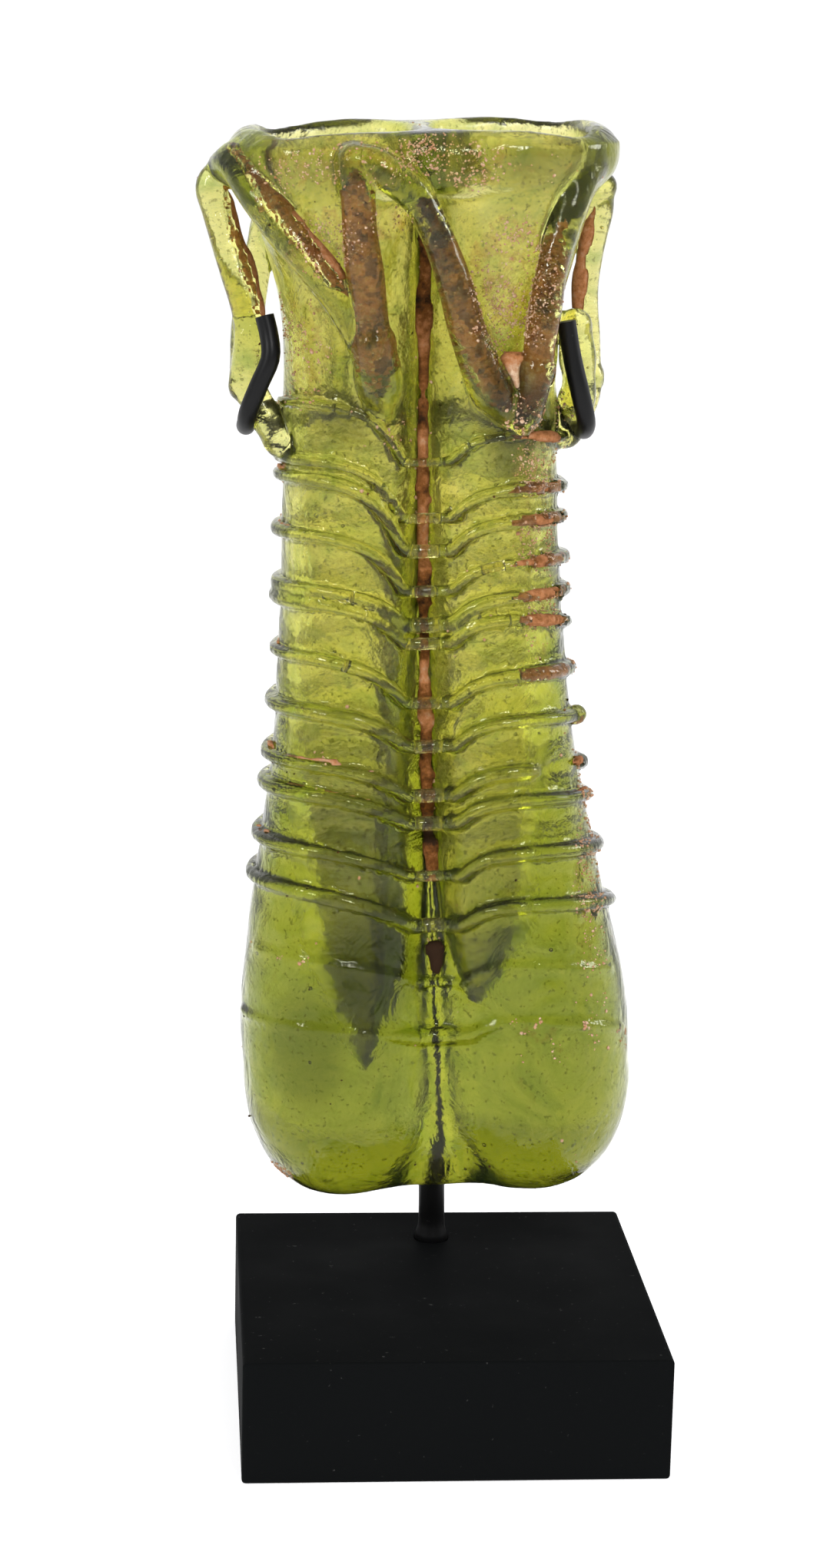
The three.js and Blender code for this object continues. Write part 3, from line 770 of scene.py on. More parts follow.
soil = untangle(np.maximum(np.minimum(soil, cores), -body - SOIL_SINK))
print("soil volume, cm3:", round(float((soil < 0).sum()) * VOXEL**3 / 1000, 2))


# %% [markdown]
# The skin comes from surface nets. Every cell that the surface passes through gets one point, at the
# middle of the places where the surface cuts the cell's edges. Every grid edge that changes sign gets
# one four-sided face from the four cells round it. A last step slides the points along the field's
# slope, so that they lie on the surface and not just near it.

# %% Surface nets
def surface_nets(field):
    """Points in mm and four-sided faces where the field is zero."""
    inside = field < 0
    cells = tuple(n - 1 for n in field.shape)
    corners = [(i, j, k) for i in (0, 1) for j in (0, 1) for k in (0, 1)]
    full = np.zeros(cells, np.int8)
    for i, j, k in corners:
        full += inside[i:i + cells[0], j:j + cells[1], k:k + cells[2]]
    active = (full > 0) & (full < 8)
    where = np.argwhere(active)
    number = np.full(cells, -1, np.int64)
    number[active] = np.arange(len(where))
    total = np.zeros((len(where), 3))
    hits = np.zeros(len(where))
    for axis in range(3):
        step = np.eye(3, dtype=int)[axis]
        for corner in corners:
            if corner[axis]:
                continue
            a = where + corner
            b = a + step
            value_a = field[a[:, 0], a[:, 1], a[:, 2]]
            value_b = field[b[:, 0], b[:, 1], b[:, 2]]
            cut = (value_a < 0) != (value_b < 0)
            share = value_a[cut] / (value_a[cut] - value_b[cut])
            total[cut] += np.array(corner) + share[:, None] * step
            hits[cut] += 1
    points = GRID_LOW + (where + total / hits[:, None]) * VOXEL
    faces = []
    for axis in range(3):
        u, v = [(1, 2), (2, 0), (0, 1)][axis]
        near = [slice(1, -1)] * 3
        near[axis] = slice(0, -1)
        ahead = list(near)
        ahead[axis] = slice(1, None)
        change = inside[tuple(near)] != inside[tuple(ahead)]
        base = np.argwhere(change)
        base[:, u] += 1
        base[:, v] += 1
        ring = []
        for du, dv in ((-1, -1), (0, -1), (0, 0), (-1, 0)):
            cell = base.copy()
            cell[:, u] += du
            cell[:, v] += dv
            ring.append(number[cell[:, 0], cell[:, 1], cell[:, 2]])
        quad = np.stack(ring, axis=1)
        out = inside[base[:, 0], base[:, 1], base[:, 2]]
        quad[~out] = quad[~out][:, ::-1]
        faces.append(quad)
    return points, np.concatenate(faces)


# %% [markdown]
# The points of a skin lie between those of the grid. So the field is read there as a mix of its eight
# neighbours, and its slope says which way is out.

# %% Reading the field
def sample(field, points):
    """The field's value between grid points."""
    scaled = (points - GRID_LOW) / VOXEL
    low = np.clip(np.floor(scaled).astype(int), 0, np.array(field.shape) - 2)
    part = scaled - low
    total = 0
    for i in (0, 1):
        for j in (0, 1):
            for k in (0, 1):
                weight = (part[:, 0] if i else 1 - part[:, 0]) * (part[:, 1] if j else 1 - part[:, 1])
                weight = weight * (part[:, 2] if k else 1 - part[:, 2])
                total = total + weight * field[low[:, 0] + i, low[:, 1] + j, low[:, 2] + k]
    return total


def slope_at(field, points, reach=0.5):
    """The direction in which the field rises, which is straight out of the surface."""
    slope = np.zeros_like(points)
    for axis in range(3):
        step = np.zeros(3)
        step[axis] = reach * VOXEL
        slope[:, axis] = sample(field, points + step) - sample(field, points - step)
    return slope / np.linalg.norm(slope, axis=1, keepdims=True).clip(1e-6)


def settle(field, points):
    """Slides points along the slope until they lie on the surface."""
    for _ in range(2):
        points = points - slope_at(field, points) * sample(field, points)[:, None] * 0.8
    return points


skin_points, skin_faces = surface_nets(body)
skin_points = settle(body, skin_points)
print("skin:", len(skin_points), "points,", len(skin_faces), "faces")


# %% [markdown]
# The points and faces now become Blender meshes. Each is checked for open edges, because glass with a
# hole in it has no inside for light to be absorbed in. The glass is thinned out where it is flat: the
# grid spends as many faces on a smooth lobe as on the thread.

# %% Skins of glass and soil
GLASS_TRIANGLES = 176_000


def make_mesh(name, points, faces, smooth_faces=True):
    """A mesh object from points in metres and faces of one size."""
    mesh = bpy.data.meshes.new(name)
    points, faces = np.asarray(points, np.float32), np.asarray(faces, np.int32)
    sides = faces.shape[1]
    mesh.vertices.add(len(points))
    mesh.vertices.foreach_set("co", points.ravel())
    mesh.loops.add(faces.size)
    mesh.loops.foreach_set("vertex_index", faces.ravel())
    mesh.polygons.add(len(faces))
    mesh.polygons.foreach_set("loop_start", np.arange(0, faces.size, sides, dtype=np.int32))
    mesh.update(calc_edges=True)
    mesh.polygons.foreach_set("use_smooth", np.full(len(faces), smooth_faces))
    made = bpy.data.objects.new(name, mesh)
    bpy.context.collection.objects.link(made)
    return made


def check_closed(piece):
    """Prints a piece's size, and how many of its edges don't have exactly two faces."""
    checker = bmesh.new()
    checker.from_mesh(piece.data)
    loose = sum(1 for edge in checker.edges if len(edge.link_faces) != 2)
    triangles = sum(len(face.verts) - 2 for face in checker.faces)
    volume = round(checker.calc_volume() * 1e6, 3)
    checker.free()
    print(piece.name, "triangles:", triangles, "open edges:", loose, "volume, cm3:", volume)


def thin_out(piece, triangles):
    """Collapses edges where the surface is flat, down to a number of triangles."""
    now = sum(len(face.vertices) - 2 for face in piece.data.polygons)
    if now > triangles:
        collapse = piece.modifiers.new("collapse", "DECIMATE")
        collapse.ratio = triangles / now
        mesh = bpy.data.meshes.new_from_object(piece.evaluated_get(bpy.context.evaluated_depsgraph_get()))
        piece.modifiers.clear()
        piece.data = mesh
        mesh.polygons.foreach_set("use_smooth", np.ones(len(mesh.polygons), bool))


glass = make_mesh("blown_glass", to_frame(skin_points), skin_faces)
check_closed(glass)
thin_out(glass, GLASS_TRIANGLES)
corners = np.empty(3 * len(glass.data.vertices), np.float32)
glass.data.vertices.foreach_get("co", corners)
world_mm = corners.reshape(-1, 3).astype(float) / MM - (0, 0, foot_top)
skin_points = to_bottle(world_mm)
soil_points, soil_faces = surface_nets(soil)
soil_points = settle(soil, soil_points)
packed_soil = make_mesh("packed_soil", to_frame(soil_points), soil_faces)
check_closed(packed_soil)


def paint(piece, name, values):
    """Keeps one number for each vertex, which materials and node trees can read by name."""
    layer = piece.data.attributes.new(name, "FLOAT", "POINT")
    layer.data.foreach_set("value", np.asarray(values, np.float32))


# %% [markdown]
# Three masks are kept on the glass for its material. They could be painted by hand or stored as a
# picture, but a number for each vertex needs no picture file. The stain is brown, round the soil and in
# patches on rim, flare and right side. The haze is one inside the bores, where the wall is dull. The film
# is a grey-green veil, strongest low in the left bore and in a few smudges.

# %% Stain, haze and film
STAINS = [  # x, z above the foot's top, half sizes, strength; on the viewer's side
    (-5.5, 130.6, 4.2, 2.6, 1.45), (-1.0, 129.6, 5.0, 3.2, 1.1), (-12.6, 129.3, 8.5, 2.8, 0.92),
    (-20.5, 128.6, 5.5, 2.6, 0.9), (9.0, 129.5, 8.0, 2.2, 0.55), (4.6, 117.3, 6.4, 8.4, 1.02),
    (2.2, 112.0, 3.6, 5.0, 0.8),
    (-9.6, 123.2, 3.4, 2.6, 0.8), (-16.0, 121.0, 5.0, 5.0, 0.85), (7.6, 97.0, 3.2, 5.2, 1.0),
    (8.0, 89.0, 3.0, 5.0, 0.98), (9.0, 80.0, 2.8, 6.0, 0.9), (15.0, 50.0, 2.2, 14.0, 0.86),
    (-19.0, 109.0, 5.5, 8.0, 0.8), (6.0, 103.0, 3.0, 3.0, 0.98), (-7.5, 101.0, 3.0, 3.0, 0.7),
    (-20.0, 48.0, 5.0, 9.0, 0.4), (9.0, 30.0, 5.0, 8.0, 0.55), (-19.2, 14.5, 1.4, 1.4, 1.3),
]
# the same for grey-green smudges
SMUDGES = [(-9.0, 41.0, 6.5, 7.0, 1.0), (-17.0, 31.0, 5.0, 8.0, 0.8), (-13.5, 102.0, 4.0, 2.6, 0.8),
           (8.5, 129.6, 9.0, 3.0, 0.6), (-20.0, 129.0, 9.0, 3.0, 0.35), (5.4, 102.0, 4.6, 7.5, 1.0)]


def oval_patches(rows, inner, outer, deepest):
    """Soft ovals on the viewer's side; where they overlap, the stronger one counts."""
    strongest = np.zeros(len(skin_points))
    for x, z, half_x, half_z, strength in rows:
        away = ((world_mm[:, 0] - x) / half_x) ** 2 + ((world_mm[:, 2] - z) / half_z) ** 2
        patch = strength * (1 - smooth(away, inner, outer)) * (world_mm[:, 1] < deepest)
        strongest = np.maximum(strongest, patch)
    return strongest


near_soil = sample(np.minimum(soil, FAR), skin_points + slope_at(body, skin_points) * 0.35)
patches = oval_patches(STAINS, 0.2, 1.3, 1.0)
stain = np.maximum(0.7 * (1 - smooth(near_soil, 0.0, 0.9)), patches).clip(0, 0.7)
in_bore = np.full(len(skin_points), 9.0)
for side, tip, spread, point in BORES:
    bore = bore_distance(*skin_points.T, side, tip, spread, point)
    in_bore = np.minimum(in_bore, np.abs(bore))
haze = 1 - smooth(in_bore, 0.35, 0.9)
film = haze * smooth(-skin_points[:, 2], -62, -34) * np.where(skin_points[:, 0] < 0, 1.0, 0.4)
film = np.maximum(film + 0.25 * haze, oval_patches(SMUDGES, 0.1, 1.4, 3.0))
for name, values in {"stain": stain, "haze": haze, "film": film}.items():
    paint(glass, name, values)
print("stained share:", round(float((stain > 0.3).mean()), 3), "bore share:", round(float(haze.mean()), 3))


# %% [markdown]
# ## Glass material
#
# The colour of this glass is in its depth: iron in the batch takes out blue and some red, so thin walls
# are pale and the thick bottom is a strong yellow-green. A tinted surface would be equally strong
# everywhere, so the colour comes from absorption in the volume. It is set by plain values, as are
# transmission and index. The weathered surface varies: a mottled tint, the stain and the film of the
# masks, fine dark pepper, slightly rougher places, and ripples and pits in the bump.

# %% Glass
GLASS_INDEX = 1.5
GLASS_CLEAR = 0.985
GLASS_SHINE = (0.4, 0.4, 0.36, 1)  # a weathered skin reflects less than fresh glass
STAIN_COLOUR = (0.62, 0.43, 0.28, 1)
BORE_DULLNESS = 0.16
GLASS_ABSORPTION = (0.68, 0.72, 0.0, 1)
GLASS_DENSITY = 235
WARM_SURFACE = (1.0, 0.92, 0.54, 1)
COOL_SURFACE = (0.5, 0.58, 0.28, 1)
FILM_COLOUR = (0.27, 0.27, 0.17, 1)
PEPPER_COLOUR = (0.12, 0.11, 0.04, 1)


def surface_tint(tree, where, stain, film):
    """The colour of the weathered skin: mottled, then filmed, stained and peppered."""
    mottle = noise(tree, where, 135, 7, 0.7, 1.5)
    clean = blend(tree, ranged(tree, mottle, 0.46, 0.68), WARM_SURFACE, COOL_SURFACE)
    filmed = blend(tree, film, clean, FILM_COLOUR)
    needed = calculate(tree, "SUBTRACT", 0.78, calculate(tree, "MULTIPLY", stain, 0.42))
    over = calculate(tree, "SUBTRACT", noise(tree, where, 700, 6, 0.65), needed)
    stained = blend(tree, ranged(tree, over, 0, 0.14), filmed, STAIN_COLOUR)
    pepper = ranged(tree, noise(tree, where, 1900, 2), 0.61, 0.7, 0, 0.75)
    return blend(tree, pepper, stained, PEPPER_COLOUR)


def glass_material():
    material, tree = new_material("olive_glass")
    where = node(tree, "ShaderNodeTexCoord").outputs["Object"]
    stain, film, haze = (node(tree, "ShaderNodeAttribute", attribute_name=name).outputs["Fac"]
                         for name in ("stain", "film", "haze"))
    rough = ranged(tree, noise(tree, where, 160, 4), 0.4, 0.75, 0.02, 0.1)
    dull = calculate(tree, "MULTIPLY_ADD", haze, BORE_DULLNESS, rough)
    ripples = noise(tree, where, 210, 3, 0.55, 0.8)
    wavy = node(tree, "ShaderNodeBump", Strength=0.5, Distance=0.0007, Height=ripples)
    pits = noise(tree, where, 1600, 3, 0.7)
    bump = node(tree, "ShaderNodeBump", Strength=0.35, Distance=0.00012, Height=pits, Normal=wavy.outputs[0])
    shader = node(tree, "ShaderNodeBsdfPrincipled", IOR=GLASS_INDEX, Transmission_Weight=GLASS_CLEAR,
                  Specular_Tint=GLASS_SHINE, Base_Color=surface_tint(tree, where, stain, film),
                  Roughness=dull, Normal=bump.outputs[0])
    depth = node(tree, "ShaderNodeVolumeAbsorption", Color=GLASS_ABSORPTION, Density=GLASS_DENSITY)
    node(tree, "ShaderNodeOutputMaterial", Surface=shader.outputs[0], Volume=depth.outputs[0])
    return material


glass_look = glass_material()
glass.data.materials.append(glass_look)
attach(glass, "root")
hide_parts("glass_bottle")
print("glass: index", GLASS_INDEX, "density", GLASS_DENSITY)

# %% [markdown]
# ## Two node trees
#
# Grains, bubbles and bars are each one rule used many times. A particle system could scatter grains, but
# it isn't kept when the model is exported. So one Geometry Nodes tree scatters lumps on points and
# another sweeps a bar along lines, and their results are kept as plain meshes.

# %% Node trees that sweep and scatter
def new_tree(name, inputs):
    """A node tree for geometry with named inputs, each given as name: (socket type, default)."""
    tree = bpy.data.node_groups.new(name, "GeometryNodeTree")
    tree.interface.new_socket("Geometry", in_out="INPUT", socket_type="NodeSocketGeometry")
    for label, (kind, default) in inputs.items():
        socket = tree.interface.new_socket(label, in_out="INPUT", socket_type="NodeSocket" + kind)
        if default is not None:
            socket.default_value = default
    tree.interface.new_socket("Geometry", in_out="OUTPUT", socket_type="NodeSocketGeometry")
    return tree, node(tree, "NodeGroupInput"), node(tree, "NodeGroupOutput")


def grow(name, source, tree, settings):
    """Runs a node tree on an object and keeps the result as a plain mesh object."""
    modifier = source.modifiers.new("grow", "NODES")
    modifier.node_group = tree
    for item in tree.interface.items_tree:
        if item.item_type == "SOCKET" and item.in_out == "INPUT" and item.name in settings:
            modifier[item.identifier] = settings[item.name]
    mesh = bpy.data.meshes.new_from_object(source.evaluated_get(bpy.context.evaluated_depsgraph_get()))
    mesh.name = name
    source.modifiers.remove(modifier)
    bpy.data.objects.remove(source)
    made = bpy.data.objects.new(name, mesh)
    bpy.context.collection.objects.link(made)
    check_closed(made)
    return made


# %% [markdown]
# The scatter tree puts one low ball on every point, turned and stretched at random by a fixed seed. The
# balls are made real before the noise reaches them, because instances of one ball would all get the
# same dents.

# %% Scatter tree
def roughen(tree, geometry, scale, detail, amount, unit=1.0):
    """Moves the surface in and out by noise, by up to half the amount."""
    where = node(tree, "GeometryNodeInputPosition").outputs[0]
    centred = calculate(tree, "SUBTRACT", noise(tree, where, scale, detail), 0.5)
    reach = calculate(tree, "MULTIPLY", calculate(tree, "MULTIPLY", centred, amount), unit)
    outward = node(tree, "GeometryNodeInputNormal").outputs[0]
    push = node(tree, "ShaderNodeVectorMath", operation="SCALE", Vector=outward, Scale=reach)
    return node(tree, "GeometryNodeSetPosition", Geometry=geometry, Offset=push.outputs[0]).outputs[0]


def close_tree(tree, given, result, geometry):
    """Every tree ends with real geometry and its material."""
    real = node(tree, "GeometryNodeRealizeInstances", geometry)
    coat = node(tree, "GeometryNodeSetMaterial", Geometry=real.outputs[0], Material=given.outputs["Material"])
    tree.links.new(coat.outputs[0], result.inputs[0])


def scatter_tree():
    """Small lumps on points; each point carries its size, and hollow lumps face inwards."""
    tree, given, result = new_tree("scatter", {
        "Detail": ("Int", 2), "Stretch": ("Float", 0.4), "Lumpiness": ("Float", 0.3),
        "Hollow": ("Bool", False), "Seed": ("Int", 1), "Material": ("Material", None)})
    seed = given.outputs["Seed"]
    lump = node(tree, "GeometryNodeMeshIcoSphere", Radius=1.0, Subdivisions=given.outputs["Detail"])
    size = node(tree, "GeometryNodeInputNamedAttribute", data_type="FLOAT", Name="size")
    turn = node(tree, "FunctionNodeRandomValue", data_type="FLOAT_VECTOR", Max=(math.tau,) * 3, Seed=seed)
    less = calculate(tree, "SUBTRACT", 1, given.outputs["Stretch"])
    least = node(tree, "ShaderNodeCombineXYZ", less, less, less)
    squash = node(tree, "FunctionNodeRandomValue", data_type="FLOAT_VECTOR", Min=least.outputs[0],
                  Max=(1, 1, 1), Seed=seed)
    scaled = node(tree, "ShaderNodeVectorMath", operation="SCALE", Vector=squash.outputs["Value"],
                  Scale=size.outputs["Attribute"])
    placed = node(tree, "GeometryNodeInstanceOnPoints", Points=given.outputs["Geometry"],
                  Instance=lump.outputs["Mesh"], Rotation=turn.outputs["Value"], Scale=scaled.outputs[0])
    real = node(tree, "GeometryNodeRealizeInstances", placed.outputs[0])
    rough = roughen(tree, real.outputs[0], 3500, 2, given.outputs["Lumpiness"], MM)
    turned = node(tree, "GeometryNodeFlipFaces", rough)
    choice = node(tree, "GeometryNodeSwitch", input_type="GEOMETRY", Switch=given.outputs["Hollow"])
    tree.links.new(rough, choice.inputs["False"])
    tree.links.new(turned.outputs[0], choice.inputs["True"])
    soft = node(tree, "GeometryNodeSetShadeSmooth", choice.outputs[0])
    close_tree(tree, given, result, soft.outputs[0])
    return tree


# %% [markdown]
# The sweep tree turns lines into round bars. Each line is first cut into even steps, so that the dents
# of the hammering are equally fine along the whole bar.

# %% Sweep tree
def sweep_tree():
    """A round bar along each line of a mesh; each point carries its radius."""
    tree, given, result = new_tree("sweep", {
        "Step": ("Float", 0.001), "Sides": ("Int", 24), "Hammering": ("Float", 0.0),
        "Material": ("Material", None)})
    line = node(tree, "GeometryNodeMeshToCurve", Mesh=given.outputs["Geometry"])
    even = node(tree, "GeometryNodeResampleCurve", mode="LENGTH", Curve=line.outputs[0],
                Length=given.outputs["Step"])
    thick = node(tree, "GeometryNodeInputNamedAttribute", data_type="FLOAT", Name="thickness")
    ring = node(tree, "GeometryNodeCurvePrimitiveCircle", Radius=1.0, Resolution=given.outputs["Sides"])
    bar = node(tree, "GeometryNodeCurveToMesh", Curve=even.outputs[0], Profile_Curve=ring.outputs["Curve"],
               Scale=thick.outputs["Attribute"], Fill_Caps=True)
    close_tree(tree, given, result, roughen(tree, bar.outputs[0], 180, 1, given.outputs["Hammering"]))
    return tree


scatter = scatter_tree()
sweep = sweep_tree()
print("nodes:", len(scatter.nodes), "to scatter,", len(sweep.nodes), "to sweep")


# %% [markdown]
# Both trees start from a mesh that holds only points or lines, with a size or a thickness kept on each
# point. That is easier to check than sizes that are hidden in a tree.

# %% Points and lines to grow on
def point_object(points, sizes):
    """Loose points in metres that carry a size, to scatter on."""
    mesh = bpy.data.meshes.new("points")
    mesh.from_pydata([tuple(p) for p in points], [], [])
    made = bpy.data.objects.new("points", mesh)
    bpy.context.collection.objects.link(made)
    paint(made, "size", sizes)
    return made


def line_object(lines):
    """Open lines in metres that carry their thickness, to sweep along."""
    points, edges, thickness = [], [], []
    for line, radii in lines:
        edges += [(len(points) + i, len(points) + i + 1) for i in range(len(line) - 1)]
        points += [tuple(p) for p in line]
        thickness += list(radii)
    mesh = bpy.data.meshes.new("lines")
    mesh.from_pydata(points, edges, [])
    made = bpy.data.objects.new("lines", mesh)
    bpy.context.collection.objects.link(made)
    paint(made, "thickness", thickness)
    return made


# %% [markdown]
# Small bubbles, which glassmakers call seeds, were caught in the glass as it cooled. A bubble is a ball
# of air, so its skin faces inwards, and it is joined to the glass as one mesh with it. A separate ball
# of glass inside glass would not show at all. Only spots with enough glass round them are used.

# %% Seeds in the glass
SEED_COUNT = 190
random = np.random.default_rng(7)
depth_here = sample(body, skin_points - slope_at(body, skin_points) * 1.1)
deep = np.flatnonzero(depth_here < -0.75)
picked = random.choice(deep, SEED_COUNT, replace=False)
sunk = random.uniform(0.6, 1.1, len(picked))[:, None]
seed_points = skin_points[picked] - slope_at(body, skin_points[picked]) * sunk
seed_sizes = random.uniform(0.1, 0.34, len(picked)) * MM
seed_sizes[:2] = 0.42 * MM
seed_points[:2] = to_bottle(np.array([(3.8, -10.6, 131.6), (4.9, -10.7, 129.8)]))
keep = sample(body, seed_points) < -0.45
seeds = grow("seeds", point_object(to_frame(seed_points[keep]), seed_sizes[keep]), scatter,
             {"Detail": 2, "Stretch": 0.35, "Lumpiness": 0.0, "Hollow": True, "Seed": 5,
              "Material": glass_look})
with bpy.context.temp_override(active_object=glass, selected_editable_objects=[glass, seeds]):
    bpy.ops.object.join()
check_closed(glass)
print("seeds:", int(keep.sum()))

# %% [markdown]
# ## Soil colours
#
# Dry soil is matt, and no two grains are alike in colour. One ramp from dark brown to pale beige serves
# all of it. Each vertex of the packed soil says where on the ramp it lies: dark and banded in the groove,
# paler in the notch of the trail. A fine noise then spreads the tones round that.

# %% Soil material
SOIL_TONES = [(0.0, (0.020, 0.008, 0.002)), (0.3, (0.15, 0.052, 0.010)), (0.6, (0.35, 0.143, 0.055)),
              (0.85, (0.42, 0.25, 0.15)), (1.0, (0.58, 0.42, 0.29))]
SOIL_VARIETY = 1.2  # how widely the tones of grains spread, half above and half below their place's


def soil_material(name, lift):
    """Dry earth; the tone attribute runs from dark brown to pale beige, and lift makes it paler."""
    material, tree = new_material(name)
    tone = node(tree, "ShaderNodeAttribute", attribute_name="tone").outputs["Fac"]
    where = node(tree, "ShaderNodeTexCoord").outputs["Object"]
    grains = noise(tree, where, 1300, 5, 0.7)
    varied = calculate(tree, "MULTIPLY_ADD", grains, SOIL_VARIETY, lift - SOIL_VARIETY / 2)
    tones = node(tree, "ShaderNodeValToRGB", calculate(tree, "ADD", tone, varied))
    ramp = tones.color_ramp
    while len(ramp.elements) < len(SOIL_TONES):
        ramp.elements.new(0.5)
    for element, (spot, colour) in zip(ramp.elements, SOIL_TONES):
        element.position = spot
        element.color = (*colour, 1)
    bump = node(tree, "ShaderNodeBump", Strength=0.7, Distance=0.0003, Height=grains)
    shader = node(tree, "ShaderNodeBsdfPrincipled", Roughness=0.92, Specular_IOR_Level=0.2,
                  Base_Color=tones.outputs[0], Normal=bump.outputs[0])
    node(tree, "ShaderNodeOutputMaterial", Surface=shader.outputs[0])
    return material


packed_soil.data.materials.append(soil_material("packed_earth", 0.0))
soil_mm = to_frame(soil_points) / MM - (0, 0, foot_top)
in_groove = 1 - smooth(np.abs(soil_points[:, 0]), 1.4, 2.6)
on_trail = smooth(soil_points[:, 2], 88, 92) * (1 - in_groove)
bands = lattice_noise(soil_points[:, 0] * 0, soil_points[:, 1] * 0, soil_points[:, 2], 2.6, 33)
on_threads = smooth(soil_points[:, 0], 5.5, 6.5) * (1 - on_trail)
tone = 0.7 - 0.14 * on_trail - 0.2 * on_threads - (0.36 - 0.34 * bands) * in_groove
tone = tone - 0.2 * in_groove * (1 - smooth(soil_points[:, 2], 44, 52))
in_notch = np.linalg.norm(soil_mm - (5.0, -6.6, 107.0), axis=1)
tone = tone + 0.28 * (1 - smooth(in_notch, 1.6, 2.8))
paint(packed_soil, "tone", tone)
print("soil tone:", round(float(tone.min()), 2), "to", round(float(tone.max()), 2))

# %% [markdown]
# Stained patches also carry a crust of fine grains. Whole faces of the skin lifted as a crust would look
# like blocky tiles. So thousands of tiny grains are dropped at random on the triangles, more where the
# stain is strong and the triangle large.

# %% Crust
NO_BORE = 0.5  # grains stay where the haze is weaker than this, so out of the bores


def spots_on(piece, weight, number):
    """Random points on the triangles of a piece, likelier where the weight of its vertices is high."""
    mesh = piece.data
    mesh.calc_loop_triangles()
    skin = np.empty(3 * len(mesh.loop_triangles), np.int32)
    mesh.loop_triangles.foreach_get("vertices", skin)
    skin = skin.reshape(-1, 3)
    skin = skin[(skin < len(weight)).all(axis=1)]
    first, second, third = (world_mm[skin[:, i]] for i in range(3))
    chance = np.linalg.norm(np.cross(second - first, third - first), axis=1) * weight[skin].mean(axis=1)
    picked = random.choice(len(skin), number, p=chance / chance.sum())
    u, v = random.uniform(0, 1, (2, number))
    over = u + v > 1
    u[over], v[over] = 1 - u[over], 1 - v[over]
    spots = first[picked] * (1 - u - v)[:, None] + second[picked] * u[:, None] + third[picked] * v[:, None]
    return (spots + (0, 0, foot_top)) * MM


mottled = 0.5 + 0.45 * lattice_noise(*skin_points.T, 2.2, 41) + 0.45 * lattice_noise(*skin_points.T, 0.8, 42)
cover = np.clip(patches * (0.45 + 0.75 * mottled) - 0.45, 0, 1) ** 1.5 * (haze < NO_BORE)
number = 4200
grain_sizes = (0.08 + 0.13 * random.uniform(0, 1, number) ** 2) * MM
crust = grow("crust_grains", point_object(spots_on(glass, cover, number), grain_sizes), scatter,
             {"Detail": 1, "Stretch": 0.5, "Lumpiness": 0.3, "Hollow": False, "Seed": 7,
              "Material": soil_material("crust_earth", 0.84)})
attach(crust, "root")
print("crust grains:", number)

# %% [markdown]
# Loose crumbs lie very thinly all over, and thicker on stains, down the right edge and at the worn
# thread. A few dark specks lie between them. Crumbs have the colour of the crust but are larger and
# spread otherwise, and specks are dark, so each of the three is a piece of its own.

# %% Crumbs and specks
SPECKS = 60

on_front = world_mm[:, 1] < 2.0
edge_line = np.interp(world_mm[:, 2], (33, 50, 67, 95), (16.5, 15.8, 15.0, 11.5))
right_edge = on_front & (np.abs(world_mm[:, 0] - edge_line) < 1.3)
right_edge = right_edge & (world_mm[:, 2] > 30) & (world_mm[:, 2] < 105)
chance = np.where(right_edge, 0.3, 0.0) + np.where(on_front, 0.8 * np.clip(stain - 0.4, 0, 1) ** 1.3, 0)
trace = np.concatenate([thread_points(13.3, 13.47, 0)[0], thread_points(12.02, 12.16, 0)[0]])
to_trace = np.min(np.linalg.norm(skin_points[:, None, :] - trace[None, ::2, :], axis=2), axis=1)
chance = chance + 2.4 * (to_trace < 0.5) + 0.003
chance = chance * (lattice_noise(*skin_points.T, 2.4, 31) > 0.05) * (haze < NO_BORE)
number = 1800
crumb_sizes = (0.07 + 0.26 * random.uniform(0, 1, number) ** 3) * MM
crumbs = grow("soil_crumbs", point_object(spots_on(glass, chance, number), crumb_sizes), scatter,
              {"Detail": 1, "Stretch": 0.6, "Lumpiness": 0.3, "Hollow": False, "Seed": 9,
               "Material": soil_material("loose_earth", 0.84)})
picked = random.choice(np.flatnonzero((haze < NO_BORE) & on_front), SPECKS, replace=False)
speck_sizes = random.uniform(0.08, 0.24, SPECKS) * MM
specks = grow("dark_specks", point_object(to_frame(skin_points[picked]), speck_sizes), scatter,
              {"Detail": 1, "Stretch": 0.6, "Lumpiness": 0.2, "Hollow": False, "Seed": 12,
               "Material": soil_material("soot", 0.02)})
for piece in (packed_soil, crumbs, specks):
    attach(piece, "root")
print("crumbs:", number, "specks:", SPECKS)


# %% [markdown]
# ## The stand
#
# A plain collector's mount: a square block, painted satin black, with a hole for a 3.2 mm rod. Two wires
# of 2.1 mm leave the rod behind the neck, come round it and turn up in front, under the bends of the
# trail. They are brazed to the rod and painted with it. The block could be a bare cube, but paint never
# shows a sharp edge, so it gets a real hole by a Boolean and rounded edges by a Bevel.

# %% Paint and block
DUST_COLOUR = (0.22, 0.22, 0.21, 1)


def paint_material(name, colour, roughness, dust, shine):
    """Black paint with soft wear in its sheen and some pale dust."""
    material, tree = new_material(name)
    where = node(tree, "ShaderNodeTexCoord").outputs["Object"]
    sheen = ranged(tree, noise(tree, where, 70, 4), 0.3, 0.7, roughness - 0.07, roughness + 0.1)
    speck = ranged(tree, noise(tree, where, 1500, 3, 0.6), 0.69, 0.78, 0, dust)
    shader = node(tree, "ShaderNodeBsdfPrincipled", Specular_IOR_Level=shine, Roughness=sheen,
                  Base_Color=blend(tree, speck, (*colour, 1), DUST_COLOUR))
    node(tree, "ShaderNodeOutputMaterial", Surface=shader.outputs[0])
    return material


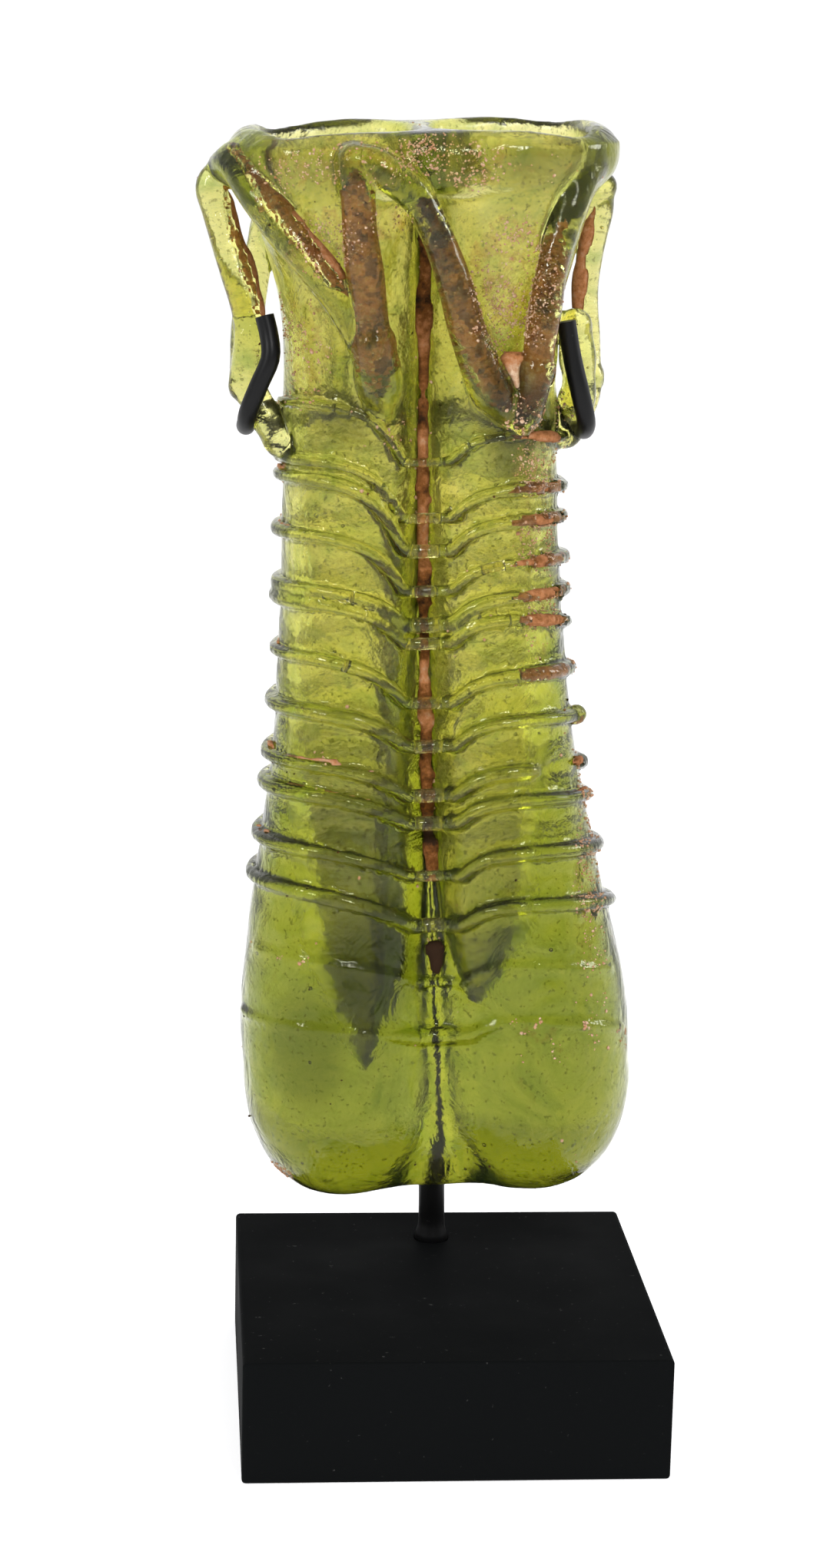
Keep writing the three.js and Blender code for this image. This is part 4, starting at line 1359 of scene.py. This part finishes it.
ROD_X, ROD_TOP_X, ROD_Y, ROD_RADIUS = -0.2, -3.6, 15.17, 1.6
HOLE_RADIUS, HOLE_DEPTH = 1.9, 10.0
BLOCK_EDGE = 0.45
block_half = (foot_high[0] - foot_low[0]) / 2 / MM
block = make_mesh("stand_block", [
    (sx * block_half * MM, sy * block_half * MM, z * foot_top * MM)
    for z in (0, 1) for sy in (-1, 1) for sx in (-1, 1)],
    [(0, 2, 3, 1), (4, 5, 7, 6), (0, 1, 5, 4), (2, 6, 7, 3), (0, 4, 6, 2), (1, 3, 7, 5)], False)
drill_mesh = bpy.data.meshes.new("drill")
drill_shape = bmesh.new()
bmesh.ops.create_cone(drill_shape, cap_ends=True, segments=48, radius1=HOLE_RADIUS * MM,
                      radius2=HOLE_RADIUS * MM, depth=2 * HOLE_DEPTH * MM)
drill_shape.to_mesh(drill_mesh)
drill_shape.free()
drill = bpy.data.objects.new("drill", drill_mesh)
drill.location = (ROD_X * MM, ROD_Y * MM, foot_top * MM)
bpy.context.collection.objects.link(drill)
cutter = block.modifiers.new("hole", "BOOLEAN")
cutter.object = drill
cutter.solver = "EXACT"
edge = block.modifiers.new("edge", "BEVEL")
edge.width = BLOCK_EDGE * MM
edge.segments = 4
edge.limit_method = "ANGLE"
block_mesh = bpy.data.meshes.new_from_object(block.evaluated_get(bpy.context.evaluated_depsgraph_get()))
block.modifiers.clear()
block.data = block_mesh
bpy.data.objects.remove(drill)
block.data.materials.append(paint_material("block_paint", (0.0042, 0.0046, 0.0048), 0.6, 0.25, 0.008))
check_closed(block)

# %% [markdown]
# Rod and hooks are bent bar, so each is a line with a thickness at every point, and the sweep tree makes
# the bar. The rod widens a little where it leaves the block, and each hook starts thicker where it is
# brazed on. A slight hammering keeps the highlights from being perfectly straight.

# %% Rod and hooks
HOOKS = {  # millimetres above the foot's top, from the rod to the tip
    "left": [(-3.6, 15.17, 101.4), (-13.0, 15.1, 101.3), (-20.6, 13.6, 101.0), (-23.4, 9.6, 100.8),
             (-24.1, 3.0, 100.7), (-24.2, -1.2, 100.9), (-24.0, -3.6, 102.6), (-22.9, -4.7, 105.6),
             (-21.7, -5.0, 108.6), (-21.9, -4.5, 111.0), (-22.4, -4.2, 113.0)],
    "right": [(-3.6, 15.17, 101.4), (5.0, 15.1, 101.3), (10.6, 13.6, 101.0), (12.8, 9.6, 100.8),
              (13.3, 3.0, 100.7), (13.4, -0.8, 100.9), (13.2, -3.2, 102.2), (12.4, -4.2, 105.0),
              (11.4, -4.5, 108.6), (10.5, -4.6, 113.0)],
}
WIRE_RADIUS = 1.05
BRAZED = (1.5, 1.4, 1.25, 1.12)  # radii at a hook's start
FOOT_FLARE, FLARE_FADE = 0.28, 1.1
lines = []
bottom = foot_top - 9.7
rod_levels = np.array([bottom, foot_top, foot_top + 3, foot_top + 30, foot_top + 60, foot_top + 101.9])
lean_share = np.clip((rod_levels - foot_top - 3) / 98.9, 0, 1)
rod_line = np.stack([ROD_X + (ROD_TOP_X - ROD_X) * lean_share, 0 * rod_levels + ROD_Y, rod_levels], axis=1)
rod_line = smooth_curve(rod_line, 12)
above = rod_line[:, 2] - foot_top
flared = ROD_RADIUS * (1 + FOOT_FLARE * np.exp(-(above / FLARE_FADE) ** 2) * (rod_line[:, 2] >= foot_top))
flared = flared * (1 - 0.25 * (rod_line[:, 2] > foot_top + 101.0))
lines.append((rod_line * MM, flared * MM))
for name, points in HOOKS.items():
    curve = smooth_curve(np.array(points) + (0, 0, foot_top), 9)
    radii = np.full(len(curve), WIRE_RADIUS)
    radii[:4] = BRAZED
    lines.append((curve * MM, radii * MM))
rod_paint = paint_material("rod_paint", (0.003, 0.003, 0.0032), 0.36, 0.25, 0.16)
rod = grow("stand_rod", line_object(lines), sweep,
           {"Step": 0.0008, "Sides": 28, "Hammering": 0.00012, "Material": rod_paint})
for polygon in rod.data.polygons:
    polygon.use_smooth = len(polygon.vertices) == 4
for piece, node_name, slot in ((block, "stand_base", "foot"), (rod, "stand_post", "rod")):
    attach(piece, "root")
    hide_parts(node_name)
